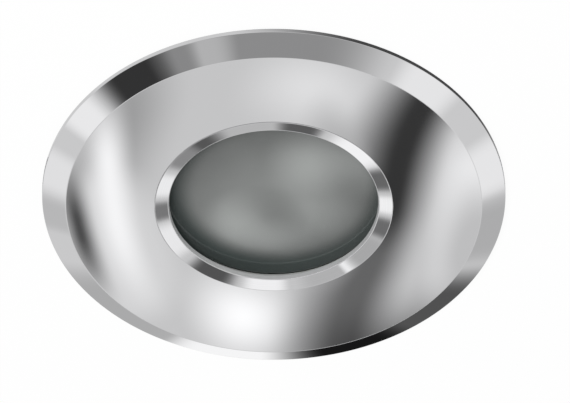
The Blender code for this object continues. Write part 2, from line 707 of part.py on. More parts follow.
def make_window(finishes):
    washer(
        "glass_lower_seal",
        GLASS_RADIUS - LOWER_SEAL_WIDTH,
        GLASS_RADIUS,
        LOWER_SEAL_BOTTOM,
        LOWER_SEAL_BOTTOM + LOWER_SEAL_THICKNESS,
        SEAL_STEPS,
        finishes["pale_silicone"],
    )
    drum("frosted_glass", GLASS_RADIUS, GLASS_BOTTOM, GLASS_TOP, finishes["frosted"], RING_STEPS)
    washer(
        "glass_upper_seal",
        UPPER_SEAL_INNER_RADIUS,
        GLASS_RADIUS,
        UPPER_SEAL_BOTTOM,
        UPPER_SEAL_BOTTOM + UPPER_SEAL_THICKNESS,
        SEAL_STEPS,
        finishes["silicone"],
    )


def bowl(radius_low, radius_high, low, high):
    """Points up a parabola-like bowl, from its wide mouth at low to its neck at high."""
    points = []
    for i in range(BOWL_POINTS):
        share = i / (BOWL_POINTS - 1)
        radius = radius_high + (radius_low - radius_high) * math.sqrt(1 - share)
        points.append((radius, low + (high - low) * share))
    return points


def make_lamp(finishes):
    outer = bowl(LAMP_RADIUS - LENS_EDGE / 2, LAMP_NECK_RADIUS, LAMP_RIM_TOP, LAMP_BOWL_TOP)
    inner = bowl(
        LAMP_RADIUS - LENS_EDGE - LAMP_WALL, LAMP_NECK_BORE, LAMP_RIM_TOP, LAMP_BOWL_TOP - LAMP_WALL
    )
    lens_radius = LAMP_RADIUS - LENS_EDGE
    lens_floor = LAMP_FRONT + LENS_THICKNESS + GAP
    outline = [(LAMP_NECK_RADIUS, LAMP_NECK_TOP)]
    outline += outer[::-1]
    outline += [
        (LAMP_RADIUS, LAMP_RIM_TOP),
        (LAMP_RADIUS, LAMP_FRONT),
        (lens_radius, LAMP_FRONT),
        (lens_radius, lens_floor),
    ]
    outline += inner
    outline += [(LAMP_NECK_BORE, LAMP_NECK_TOP)]
    turned("lamp_reflector", outline, CAN_STEPS, finishes["mirror"])
    drum(
        "lamp_lens",
        lens_radius - GAP,
        LAMP_FRONT,
        LAMP_FRONT + LENS_THICKNESS,
        finishes["clear"],
        CAN_STEPS,
    )
    spigot_bottom = LAMP_BASE_BOTTOM - LAMP_SPIGOT_DEPTH
    socket = CAPSULE_STEM_RADIUS + GAP
    socket_top = spigot_bottom + CAPSULE_STEM_LENGTH
    outline = [
        (0, LAMP_BASE_TOP),
        (LAMP_BASE_RADIUS - LAMP_BASE_TAPER, LAMP_BASE_TOP),
        (LAMP_BASE_RADIUS, LAMP_BASE_BOTTOM),
        (LAMP_SPIGOT_RADIUS, LAMP_BASE_BOTTOM),
        (LAMP_SPIGOT_RADIUS, spigot_bottom),
        (socket, spigot_bottom),
        (socket, socket_top),
        (0, socket_top),
    ]
    base = turned("lamp_base", outline, SMALL_STEPS, finishes["ceramic"], closed=False)
    make_capsule(spigot_bottom, finishes)
    lamp_frame = bpy.data.objects.new("lamp_axis", None)
    PARTS.objects.link(lamp_frame)
    neck_bottom = LAMP_BASE_TOP - PIN_NECK_LENGTH / 2
    head_bottom = PIN_TIP - PIN_HEAD_HEIGHT
    for side, word in ((1, "right"), (-1, "left")):
        centre = (side * PIN_SPACING / 2, 0)
        hole_bottom = neck_bottom - GAP
        hole_top = LAMP_BASE_TOP + OVERRUN
        bore(base, f"pin_hole_{word}", PIN_NECK_RADIUS + GAP, hole_bottom, hole_top, centre)
        pin_outline = [
            (0, PIN_TIP),
            (PIN_HEAD_RADIUS - PIN_HEAD_ROUND, PIN_TIP),
            (PIN_HEAD_RADIUS, PIN_TIP - PIN_HEAD_ROUND),
            (PIN_HEAD_RADIUS, head_bottom),
            (PIN_NECK_RADIUS, head_bottom),
            (PIN_NECK_RADIUS, neck_bottom),
            (0, neck_bottom),
        ]
        pin = turned(f"lamp_pin_{word}", pin_outline, SCREW_STEPS, finishes["zinc"], closed=False)
        place(pin, (*centre, 0), parent=lamp_frame)


def make_capsule(socket_mouth, finishes):
    """The small glass capsule, with a round end and a stem in the base's socket."""
    top = socket_mouth - GAP
    round_centre = top - CAPSULE_LENGTH + CAPSULE_RADIUS
    outline = [
        (0, top + CAPSULE_STEM_LENGTH - GAP),
        (CAPSULE_STEM_RADIUS, top + CAPSULE_STEM_LENGTH - GAP),
        (CAPSULE_STEM_RADIUS, top),
        (CAPSULE_RADIUS, top - CAPSULE_STEM_RADIUS),
    ]
    for i in range(CAPSULE_POINTS):
        angle = QUARTER_TURN * i / CAPSULE_POINTS
        radius = CAPSULE_RADIUS * math.cos(angle)
        outline.append((radius, round_centre - CAPSULE_RADIUS * math.sin(angle)))
    outline.append((0, round_centre - CAPSULE_RADIUS))
    turned("lamp_capsule", outline, SCREW_STEPS, finishes["clear"], closed=False)


def arc_slot(name, width, low, high, start, sweep):
    """A slot with round ends that follows the pins' circle."""
    middle = PIN_SPACING / 2
    points = []
    for i in range(ARC_POINTS):
        points.append(polar(middle + width, start + sweep * i / (ARC_POINTS - 1)))
    for i in range(1, ARC_POINTS - 1):
        turn = HALF_TURN * i / (ARC_POINTS - 1)
        centre = Vector(polar(middle, start + sweep))
        points.append(tuple(centre + Vector(polar(width, start + sweep + turn))))
    for i in range(ARC_POINTS):
        points.append(polar(middle - width, start + sweep * (1 - i / (ARC_POINTS - 1))))
    for i in range(1, ARC_POINTS - 1):
        turn = HALF_TURN * (1 + i / (ARC_POINTS - 1))
        centre = Vector(polar(middle, start))
        points.append(tuple(centre + Vector(polar(width, start + turn))))
    slot = sheet(name, points, high - low)
    return place(slot, (0, 0, (low + high) / 2))


def make_holder(finishes):
    """The lamp's pins turn about -Z to unlock, so each slot runs back from the pin by LAMP_TWIST."""
    outline = [
        (0, HOLDER_TOP),
        (HOLDER_RADIUS - HOLDER_ROUND, HOLDER_TOP),
        (HOLDER_RADIUS, HOLDER_TOP - HOLDER_ROUND),
        (HOLDER_RADIUS, HOLDER_BOTTOM),
        (0, HOLDER_BOTTOM),
    ]
    holder = turned("lampholder", outline, SMALL_STEPS, finishes["ceramic"], closed=False)
    for side, word in ((1, "right"), (-1, "left")):
        start = (0 if side == 1 else HALF_TURN) - LAMP_TWIST
        neck_width = PIN_NECK_RADIUS + GAP
        head_width = PIN_HEAD_RADIUS + GAP
        mouth = HOLDER_BOTTOM - OVERRUN
        neck_slot = arc_slot(
            f"neck_slot_{word}", neck_width, mouth, LEDGE_SIDE + GAP, start, LAMP_TWIST
        )
        head_slot = arc_slot(
            f"head_slot_{word}", head_width, LEDGE_SIDE, CAVITY_TOP, start, LAMP_TWIST
        )
        entry = drum(
            f"pin_entry_{word}",
            head_width,
            mouth,
            LEDGE_SIDE + GAP,
            centre=polar(PIN_SPACING / 2, start),
            sides=SMALL_STEPS,
        )
        cut(holder, neck_slot, head_slot, entry)
        x = side * PIN_SPACING / 2
        contact_top = CAVITY_TOP - GAP
        block(
            f"holder_contact_{word}",
            (x - CONTACT_SIDE / 2, -CONTACT_SIDE / 2, contact_top - CONTACT_THICKNESS),
            (x + CONTACT_SIDE / 2, CONTACT_SIDE / 2, contact_top),
            finishes["brass"],
        )
        screw = screw_piece(f"holder_screw_{word}", finishes["zinc"], HOLDER_SCREW_LENGTH)
        head = STRAP_BOTTOM + STRAP_THICKNESS + GAP
        place(screw, (side * HOLDER_SCREW_PLACE, 0, head))
        bottom = head - HOLDER_SCREW_LENGTH - GAP
        centre = (side * HOLDER_SCREW_PLACE, 0)
        bore(holder, f"holder_hole_{word}", SCREW_HOLE_RADIUS, bottom, HOLDER_TOP + OVERRUN, centre)


def make_strap(finishes):
    """A steel strap cranked up at both ends, drawn in X and Z."""
    half = [
        (STRAP_HALF_LENGTH, STRAP_END_BOTTOM),
        (STRAP_END_START, STRAP_END_BOTTOM),
        (STRAP_MIDDLE, STRAP_BOTTOM),
    ]
    under = half + [(-x, z) for x, z in half[::-1]]
    over = [(x, z + STRAP_THICKNESS) for x, z in under[::-1]]
    strap = sheet("holder_strap", under + over, STRAP_WIDTH, finishes["zinc"])
    place(strap, rotation=(QUARTER_TURN, 0, 0))
    top = STRAP_END_BOTTOM + STRAP_THICKNESS + OVERRUN
    for x in (HOLDER_SCREW_PLACE, -HOLDER_SCREW_PLACE, BOX_SCREW_PLACE, -BOX_SCREW_PLACE):
        bore(strap, "strap_hole", SCREW_HOLE_RADIUS, STRAP_BOTTOM - OVERRUN, top, (x, 0))


def make_ribs():
    """All the can's cooling ribs in one mesh of separate blades."""
    mesh = bpy.data.meshes.new("ribs")
    shape = bmesh.new()
    low = FLANGE_TOP + RIB_LIFT
    high = SHOULDER - RIB_TOP_DROP
    inner = CAN_RADIUS - CAN_WALL / 2
    outer = CAN_RADIUS + RIB_REACH
    for i in range(RIBS):
        turn = Matrix.Rotation(FULL_TURN * (i + 0.5) / RIBS, 4, "Z")
        middle = Vector(((inner + outer) / 2, 0, (low + high) / 2))
        size = Vector((outer - inner, RIB_THICKNESS, high - low))
        matrix = turn @ Matrix.Translation(middle) @ Matrix.Diagonal((*size, 1))
        made = bmesh.ops.create_cube(shape, size=1.0, matrix=matrix)
        tip = [v for v in made["verts"] if v.co.z > middle.z and v.co.xy.length > CAN_RADIUS]
        bmesh.ops.translate(shape, vec=(0, 0, -RIB_REACH), verts=tip)
    shape.to_mesh(mesh)
    shape.free()
    return add("ribs", mesh)


def make_rear_housing(finishes):
    bore_top = CAN_TOP_RADIUS - CAN_WALL
    outline = [
        (0, CAN_TOP),
        (CAN_TOP_RADIUS, CAN_TOP),
        (CAN_RADIUS, SHOULDER),
        (CAN_RADIUS, FLANGE_TOP),
        (COLLAR_RADIUS, FLANGE_TOP),
        (COLLAR_RADIUS, FLANGE_BOTTOM),
        (CAN_SPIGOT_RADIUS, FLANGE_BOTTOM),
        (CAN_SPIGOT_RADIUS, SPIGOT_END),
        (CAN_BORE, SPIGOT_END),
        (CAN_BORE, SHOULDER),
        (bore_top, CAN_CEILING),
        (0, CAN_CEILING),
    ]
    can = turned("rear_housing", outline, CAN_STEPS, finishes["casting"], closed=False)
    for number, angle in enumerate(boss_angles(), 1):
        centre = polar(BOSS_CIRCLE_RADIUS, angle)
        join(can, drum(f"ear_{number}", CAN_EAR_RADIUS, FLANGE_BOTTOM, FLANGE_TOP, centre=centre))
    join(can, make_ribs())
    for number, angle in enumerate(boss_angles(), 1):
        centre = polar(BOSS_CIRCLE_RADIUS, angle)
        ear_hole = (FLANGE_BOTTOM - OVERRUN, FLANGE_TOP + OVERRUN)
        bore(can, f"can_ear_hole_{number}", SCREW_HOLE_RADIUS, *ear_hole, centre)
        screw = screw_piece(f"housing_screw_{number}", finishes["zinc"], HOUSING_SCREW_LENGTH)
        place(screw, (*centre, FLANGE_TOP + GAP))
    ceiling_hole = (CAN_CEILING - OVERRUN, CAN_TOP + OVERRUN)
    for x in (BOX_SCREW_PLACE, -BOX_SCREW_PLACE):
        bore(can, "box_screw_hole", SCREW_HOLE_RADIUS, *ceiling_hole, (x, 0))
    bore(can, "lead_hole", GROMMET_NECK_RADIUS + GAP, *ceiling_hole, (0, LEAD_OFFSET))
    bore(can, "earth_hole", SCREW_HOLE_RADIUS, *ceiling_hole, (EARTH_SCREW_X, EARTH_SCREW_Y))
    washer(
        "housing_seal",
        COLLAR_INNER_RADIUS,
        COLLAR_RADIUS,
        SEAL_BOTTOM,
        SEAL_BOTTOM + HOUSING_SEAL_THICKNESS,
        CAN_STEPS,
        finishes["silicone"],
    )


def pillar_places():
    """The two opposite corners where the lid's screws go in."""
    return (("left", (-PILLAR_X, PILLAR_Y)), ("right", (PILLAR_X, -PILLAR_Y)))


def make_terminal_box(finishes):
    half_x, half_y = BOX_LENGTH / 2, BOX_WIDTH / 2
    box = block(
        "terminal_box",
        (-half_x, -half_y, BOX_BOTTOM),
        (half_x, half_y, BOX_TOP),
        finishes["nylon"],
        corner=BOX_CORNER,
    )
    room_x, room_y = half_x - BOX_WALL, half_y - BOX_WALL
    room = block(
        "box_room",
        (-room_x, -room_y, BOX_FLOOR),
        (room_x, room_y, BOX_TOP + OVERRUN),
        corner=BOX_CORNER - BOX_WALL,
    )
    cut(box, room)
    for word, centre in pillar_places():
        foot = BOX_FLOOR - BOX_WALL / 2
        join(box, drum(f"pillar_{word}", PILLAR_RADIUS, foot, BOX_TOP - GAP, centre=centre))
    for word, centre in pillar_places():
        bottom = BOX_TOP - PILLAR_HOLE_DEPTH
        bore(box, f"pillar_hole_{word}", SCREW_HOLE_RADIUS, bottom, BOX_TOP + OVERRUN, centre)
    floor_hole = (BOX_BOTTOM - OVERRUN, BOX_FLOOR + OVERRUN)
    for side, word in ((1, "right"), (-1, "left")):
        centre = (side * BOX_SCREW_PLACE, 0)
        bore(box, f"floor_hole_{word}", SCREW_HOLE_RADIUS, *floor_hole, centre)
        screw = screw_piece(f"box_screw_{word}", finishes["zinc"], BOX_SCREW_LENGTH)
        place(screw, (*centre, BOX_FLOOR + GAP))
    bore(box, "grommet_hole", GROMMET_NECK_RADIUS + GAP, *floor_hole, (0, LEAD_OFFSET))
    earth_place = (EARTH_SCREW_X, EARTH_SCREW_Y)
    bore(box, "earth_floor_hole", SCREW_HOLE_RADIUS, *floor_hole, earth_place)
    earth = screw_piece("earth_screw", finishes["brass"], EARTH_SCREW_LENGTH)
    place(earth, (*earth_place, BOX_FLOOR + GAP))
    wall_hole = drum("gland_hole", GLAND_THREAD_RADIUS + GAP, -BOX_WALL - OVERRUN, OVERRUN)
    place(wall_hole, (-half_x, 0, GLAND_Z), (0, -QUARTER_TURN, 0))
    cut(box, wall_hole)
    make_lid(finishes)


def make_lid(finishes):
    half_x, half_y = BOX_LENGTH / 2, BOX_WIDTH / 2
    lid = block(
        "terminal_lid",
        (-half_x, -half_y, LID_BOTTOM),
        (half_x, half_y, LID_TOP),
        finishes["nylon"],
        corner=BOX_CORNER,
    )
    plug_x, plug_y = half_x - BOX_WALL - GAP, half_y - BOX_WALL - GAP
    plug = block(
        "lid_plug",
        (-plug_x, -plug_y, LID_BOTTOM - GAP - LID_PLUG_HEIGHT),
        (plug_x, plug_y, LID_BOTTOM + LID_THICKNESS / 2),
        corner=BOX_CORNER - BOX_WALL,
    )
    join(lid, plug)
    for word, centre in pillar_places():
        recess = (LID_BOTTOM - LID_PLUG_HEIGHT - OVERRUN, LID_BOTTOM)
        bore(lid, f"pillar_recess_{word}", PILLAR_RADIUS + GAP, *recess, centre)
        hole = (LID_BOTTOM - OVERRUN, LID_TOP + OVERRUN)
        bore(lid, f"lid_hole_{word}", SCREW_HOLE_RADIUS, *hole, centre)
        screw = screw_piece(f"lid_screw_{word}", finishes["zinc"], LID_SCREW_LENGTH)
        place(screw, (*centre, LID_TOP + GAP))


def pole_places():
    return (("live", -POLE_SPACING), ("neutral", 0), ("earth", POLE_SPACING))


def make_terminal_block(finishes):
    low_y = BLOCK_OFFSET - BLOCK_WIDTH / 2
    high_y = BLOCK_OFFSET + BLOCK_WIDTH / 2
    body = block(
        "terminal_block",
        (-BLOCK_LENGTH / 2, low_y, BLOCK_BOTTOM),
        (BLOCK_LENGTH / 2, high_y, BLOCK_TOP),
        finishes["block"],
        edge=BLOCK_EDGE,
    )
    for word, x in pole_places():
        well = (BLOCK_TOP - POLE_HOLE_DEPTH, BLOCK_TOP + OVERRUN)
        bore(body, f"pole_well_{word}", POLE_HOLE_RADIUS, *well, (x, BLOCK_OFFSET))
        way = drum(
            f"pole_way_{word}",
            POLE_WIRE_RADIUS,
            -BLOCK_WIDTH / 2 - OVERRUN,
            BLOCK_WIDTH / 2 + OVERRUN,
            sides=SCREW_STEPS,
        )
        place(way, (x, BLOCK_OFFSET, POLE_WIRE_Z), (QUARTER_TURN, 0, 0))
        cut(body, way)
        top = BLOCK_TOP - POLE_SCREW_SUNK
        screw = drum(
            f"terminal_screw_{word}",
            POLE_SCREW_RADIUS,
            top - POLE_SCREW_LENGTH,
            top,
            finishes["brass"],
            SCREW_STEPS,
            (x, BLOCK_OFFSET),
        )
        slot = block(
            f"pole_slot_{word}",
            (x - POLE_HOLE_RADIUS, BLOCK_OFFSET - SCREW_SLOT_WIDTH / 2, top - SCREW_SLOT_DEPTH),
            (x + POLE_HOLE_RADIUS, BLOCK_OFFSET + SCREW_SLOT_WIDTH / 2, top + OVERRUN),
        )
        cut(screw, slot)


def smooth_route(corners):
    """Points along a smooth curve through the route's own points."""
    points = []
    last = len(corners) - 1
    for i in range(last):
        before = Vector(corners[max(i - 1, 0)])
        start, end = Vector(corners[i]), Vector(corners[i + 1])
        after = Vector(corners[min(i + 2, last)])
        for step in range(LEAD_POINTS_PER_LEG):
            t = step / LEAD_POINTS_PER_LEG
            pull = 2 * before - 5 * start + 4 * end - after
            bend = -before + 3 * start - 3 * end + after
            points.append((2 * start + (end - before) * t + pull * t * t + bend * t ** 3) / 2)
    points.append(Vector(corners[last]))
    return points


def make_leads(finishes):
    """Live and neutral from the holder to the block, and the earth from its screw."""
    top_flange = BOX_FLOOR + GAP
    neck_low = CAN_CEILING - GAP
    outline = [
        (GROMMET_FLANGE_RADIUS, top_flange + GROMMET_FLANGE_THICKNESS),
        (GROMMET_FLANGE_RADIUS, top_flange),
        (GROMMET_NECK_RADIUS, top_flange),
        (GROMMET_NECK_RADIUS, neck_low),
        (GROMMET_BORE, neck_low),
        (GROMMET_BORE, top_flange + GROMMET_FLANGE_THICKNESS),
    ]
    grommet = turned("lead_grommet", outline, SMALL_STEPS, finishes["silicone"])
    place(grommet, (0, LEAD_OFFSET, 0))
    block_face = BLOCK_OFFSET - BLOCK_WIDTH / 2
    inside = block_face + BLOCK_WIDTH / 4
    clear = top_flange + GROMMET_FLANGE_THICKNESS + LEAD_BEND
    for side, word, pole, colour in (
        (-1, "live", -POLE_SPACING, "brown"),
        (1, "neutral", 0, "blue"),
    ):
        x = side * LEAD_SPREAD
        foot = side * LEAD_FOOT
        route = [
            (foot, LEAD_OFFSET, HOLDER_TOP + GAP),
            (foot, LEAD_OFFSET, HOLDER_TOP + GAP + 2 * LEAD_RADIUS),
            (x, LEAD_OFFSET, CAN_CEILING),
            (x, LEAD_OFFSET, BOX_FLOOR),
            (x + (pole - x) / 4, LEAD_OFFSET + LEAD_BEND / 2, clear),
            (pole, block_face - LEAD_BEND, POLE_WIRE_Z + LEAD_BEND / 4),
            (pole, block_face, POLE_WIRE_Z),
            (pole, inside, POLE_WIRE_Z),
        ]
        tube(f"lead_{word}", smooth_route(route), LEAD_RADIUS, finishes[colour], 1)
    start_y = EARTH_SCREW_Y + SCREW_HEAD_RADIUS + GAP
    level = BOX_FLOOR + GAP + LEAD_RADIUS
    route = [
        (EARTH_SCREW_X, start_y, level),
        (EARTH_SCREW_X, start_y + LEAD_RADIUS, level + LEAD_RADIUS / 4),
        (EARTH_SCREW_X, start_y + LEAD_BEND, clear - LEAD_BEND / 2),
        (POLE_SPACING, block_face - LEAD_BEND / 2, POLE_WIRE_Z + LEAD_RADIUS / 2),
        (POLE_SPACING, block_face, POLE_WIRE_Z),
        (POLE_SPACING, inside, POLE_WIRE_Z),
    ]
    tube("lead_earth", smooth_route(route), LEAD_RADIUS, finishes["green"], 1)


def make_gland(finishes):
    """Body, seal and dome nut, turned about the cable's axis, which points out of the box."""
    wall = -BOX_WALL - GLAND_INNER_LENGTH
    hex_start = GAP
    hex_end = hex_start + GLAND_HEX_LENGTH
    neck_end = hex_end + GLAND_NECK_LENGTH
    pocket = neck_end - GLAND_SEAL_LENGTH
    neck_radius = GLAND_THREAD_RADIUS
    pocket_radius = GLAND_SEAL_RADIUS + GAP
    outline = [
        (neck_radius, neck_end),
        (neck_radius, wall),
        (GLAND_BORE, wall),
        (GLAND_BORE, pocket),
        (pocket_radius, pocket),
        (pocket_radius, neck_end),
    ]
    towards_out = {"location": (-BOX_LENGTH / 2, 0, GLAND_Z), "rotation": (0, -QUARTER_TURN, 0)}
    body = turned("gland_body", outline, SMALL_STEPS, finishes["grey_nylon"])
    place(body, **towards_out)
    nut = drum("gland_hex", GLAND_HEX_RADIUS, hex_start, hex_end, sides=HEX_SIDES)
    inside = drum("gland_hex_bore", GLAND_BORE + GAP, hex_start - OVERRUN, hex_end + OVERRUN)
    place(nut, **towards_out)
    place(inside, **towards_out)
    cut(nut, inside)
    join(body, nut)
    seal_end = neck_end - GAP
    seal = washer(
        "gland_seal",
        GLAND_SEAL_BORE,
        GLAND_SEAL_RADIUS,
        pocket + GAP,
        seal_end,
        SMALL_STEPS,
        finishes["silicone"],
    )
    place(seal, **towards_out)
    nut_start = hex_end + GAP
    nut_end = nut_start + GLAND_NECK_LENGTH + GLAND_NUT_END
    nut_bore = neck_radius + GAP
    outline = [
        (GLAND_NUT_RADIUS - GLAND_NUT_ROUND, nut_end),
        (GLAND_NUT_RADIUS, nut_end - GLAND_NUT_ROUND),
        (GLAND_NUT_RADIUS, nut_start),
        (nut_bore, nut_start),
        (nut_bore, nut_end - GLAND_NUT_END),
        (GLAND_BORE, nut_end - GLAND_NUT_END),
        (GLAND_BORE, nut_end),
    ]
    cap = turned("gland_nut", outline, SMALL_STEPS, finishes["grey_nylon"])
    place(cap, **towards_out)


def make_clip(word, heading, finishes):
    """One clip in its own frame: X points out from the collar, and heading turns it in place."""
    frame = bpy.data.objects.new(f"clip_frame_{word}", None)
    PARTS.objects.link(frame)
    frame.rotation_euler = (0, 0, heading)
    pivot = bpy.data.objects.new(f"clip_pivot_{word}", None)
    PARTS.objects.link(pivot)
    place(pivot, (PIVOT_OUT, 0, PIVOT_HEIGHT), parent=frame)
    arm_frame = bpy.data.objects.new(f"clip_rest_{word}", None)
    PARTS.objects.link(arm_frame)
    place(arm_frame, rotation=(0, REST_SLOPE, 0), parent=pivot)
    make_bracket(word, frame, finishes)
    screw = screw_piece(
        f"clip_screw_{word}", finishes["zinc"], CLIP_SCREW_LENGTH, CLIP_SCREW_HEAD_RADIUS
    )
    place(screw, (BRACKET_FRONT + GAP, 0, CLIP_SCREW_HEIGHT), (0, QUARTER_TURN, 0), frame)
    make_pin(word, pivot, finishes)
    make_spring(word, pivot, finishes)
    make_arm(word, arm_frame, finishes)
    make_sleeve(word, arm_frame, finishes)


def make_bracket(word, frame, finishes):
    bracket = block(
        f"clip_bracket_{word}",
        (BRACKET_FACE, -EAR_OUTER, BRACKET_BOTTOM),
        (BRACKET_FRONT, EAR_OUTER, BRACKET_TOP),
        finishes["zinc"],
    )
    place(bracket, parent=frame)
    for number, side in enumerate((1, -1), 1):
        low_y, high_y = sorted((side * EAR_INNER, side * EAR_OUTER))
        ear = block(
            f"ear_{word}_{number}",
            (BRACKET_FACE, low_y, PIVOT_HEIGHT - EAR_RADIUS),
            (PIVOT_OUT, high_y, PIVOT_HEIGHT + EAR_RADIUS),
        )
        place(ear, parent=frame)
        nose = drum(f"ear_nose_{word}_{number}", EAR_RADIUS, -EAR_THICKNESS / 2, EAR_THICKNESS / 2)
        middle = side * (EAR_INNER + EAR_THICKNESS / 2)
        place(nose, (PIVOT_OUT, middle, PIVOT_HEIGHT), (QUARTER_TURN, 0, 0), frame)
        join(bracket, ear, nose)
    reach = EAR_OUTER + OVERRUN
    pin_hole = drum(f"ear_hole_{word}", PIN_RADIUS + GAP, -reach, reach, sides=SCREW_STEPS)
    place(pin_hole, (PIVOT_OUT, 0, PIVOT_HEIGHT), (QUARTER_TURN, 0, 0), frame)
    screw_hole = drum(
        f"base_hole_{word}", SCREW_HOLE_RADIUS, -OVERRUN, BRACKET_BASE + OVERRUN, sides=SCREW_STEPS
    )
    place(screw_hole, (BRACKET_FACE, 0, CLIP_SCREW_HEIGHT), (0, QUARTER_TURN, 0), frame)
    cut(bracket, pin_hole, screw_hole)


def make_pin(word, pivot, finishes):
    """A headed pin through both ears, riveted over at its far end."""
    end = EAR_OUTER + GAP
    outline = [
        (0, end + PIN_HEAD_LENGTH),
        (PIN_HEAD, end + PIN_HEAD_LENGTH),
        (PIN_HEAD, end),
        (PIN_RADIUS, end),
        (PIN_RADIUS, -end),
        (PIN_HEAD, -end),
        (PIN_HEAD, -end - PIN_HEAD_LENGTH),
        (0, -end - PIN_HEAD_LENGTH),
    ]
    pin = turned(f"clip_pin_{word}", outline, SCREW_STEPS, finishes["spring"], closed=False)
    place(pin, rotation=(QUARTER_TURN, 0, 0), parent=pivot)


def spring_line():
    """Foot up the bracket, turns about Y, then the leg that presses on the arm.

    The last turn stops short by the rest slope, so the leg leaves the coil along the arm.
    """
    first = HALF_TURN
    last = first + FULL_TURN * COIL_TURNS - REST_SLOPE
    count = round(COIL_TURNS * COIL_POINTS_PER_TURN)
    middle_share = 0.5
    line = [(-COIL_RADIUS, -COIL_HALF, SPRING_FOOT * share) for share in (1.0, middle_share)]
    for i in range(count + 1):
        x, z = polar(COIL_RADIUS, first + (last - first) * i / count)
        line.append((x, -COIL_HALF + 2 * COIL_HALF * i / count, z))
    leg = Vector((math.cos(REST_SLOPE), 0, -math.sin(REST_SLOPE))) * SPRING_ARM
    coil_end = Vector(line[-1])
    line += [tuple(coil_end + leg * share) for share in (middle_share, 1.0)]
    return line


def make_spring(word, pivot, finishes):
    line = spring_line()
    spring = tube(f"clip_spring_{word}", line, WIRE_RADIUS, finishes["spring"], 1)
    place(spring, parent=pivot)
    print(f"clip_spring_{word}: least gap to itself {least_gap(line) / MM:.2f} mm")


def least_gap(line):
    """Smallest clear distance between turns, tested between points of the line."""
    dense = []
    for start, end in zip(line, line[1:]):
        for i in range(COIL_TEST_STEPS):
            dense.append(Vector(start).lerp(Vector(end), i / COIL_TEST_STEPS))
    apart = COIL_TEST_STEPS * COIL_POINTS_PER_TURN // 2
    nearest = min(
        (dense[i] - dense[j]).length
        for i in range(len(dense))
        for j in range(i + apart, len(dense))
    )
    return nearest - 2 * WIRE_RADIUS


def make_arm(word, arm_frame, finishes):
    """A steel strip that passes under the coil, with two lugs up to the pin."""
    arm = block(
        f"clip_arm_{word}",
        (-ARM_HEEL, -LUG_OUTER, ARM_BOTTOM),
        (ARM_LENGTH, LUG_OUTER, ARM_TOP),
        finishes["zinc"],
    )
    place(arm, parent=arm_frame)
    for number, side in enumerate((1, -1), 1):
        low_y, high_y = sorted((side * LUG_INNER, side * LUG_OUTER))
        foot = block(
            f"lug_{word}_{number}",
            (-ARM_HEEL, low_y, ARM_BOTTOM + ARM_THICKNESS / 2),
            (LUG_FOOT - ARM_HEEL, high_y, -LUG_RADIUS / 2),
        )
        place(foot, parent=arm_frame)
        nose = drum(f"lug_nose_{word}_{number}", LUG_RADIUS, -LUG_THICKNESS / 2, LUG_THICKNESS / 2)
        middle = side * (LUG_INNER + LUG_THICKNESS / 2)
        place(nose, (0, middle, 0), (QUARTER_TURN, 0, 0), arm_frame)
        join(arm, foot, nose)
    reach = LUG_OUTER + OVERRUN
    hole = drum(f"lug_hole_{word}", PIN_RADIUS + GAP, -reach, reach, sides=SCREW_STEPS)
    place(hole, (0, 0, 0), (QUARTER_TURN, 0, 0), arm_frame)
    cut(arm, hole)


def make_sleeve(word, arm_frame, finishes):
    """A soft sleeve over the strip's end, open towards the pivot."""
    start = ARM_LENGTH - SLEEVE_LENGTH
    end = ARM_LENGTH + GAP + SLEEVE_WALL
    half = LUG_OUTER + GAP + SLEEVE_WALL
    sleeve = block(
        f"clip_sleeve_{word}",
        (start, -half, ARM_BOTTOM - GAP - SLEEVE_WALL),
        (end, half, ARM_TOP + GAP + SLEEVE_WALL),
        finishes["silicone"],
        edge=SLEEVE_ROUND,
    )
    place(sleeve, parent=arm_frame)
    pocket = block(
        f"sleeve_pocket_{word}",
        (start - OVERRUN, -LUG_OUTER - GAP, ARM_BOTTOM - GAP),
        (ARM_LENGTH + GAP, LUG_OUTER + GAP, ARM_TOP + GAP),
    )
    place(pocket, parent=arm_frame)
    cut(sleeve, pocket)


def main():
    clear_scene()
    finishes = make_finishes()
    make_trim_plate(finishes)
    make_gasket(finishes)
    make_glass_ring(finishes)
    make_window(finishes)
    make_lamp(finishes)
    make_holder(finishes)
    make_strap(finishes)
    make_rear_housing(finishes)
    make_terminal_box(finishes)
    make_terminal_block(finishes)
    make_leads(finishes)
    make_gland(finishes)
    make_clip("right", 0, finishes)
    make_clip("left", HALF_TURN, finishes)


main()
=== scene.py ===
"""Dresses a recessed downlight: chromed plate and ring, frosted window, lamp, can, terminal box and clips.

Every size is in metres in the frame of the packed model: +Z points up into the ceiling void and the
origin is the centre of the ceiling's lower surface.
"""

import json
import math

import bmesh
import bpy
from mathutils import Matrix, Vector


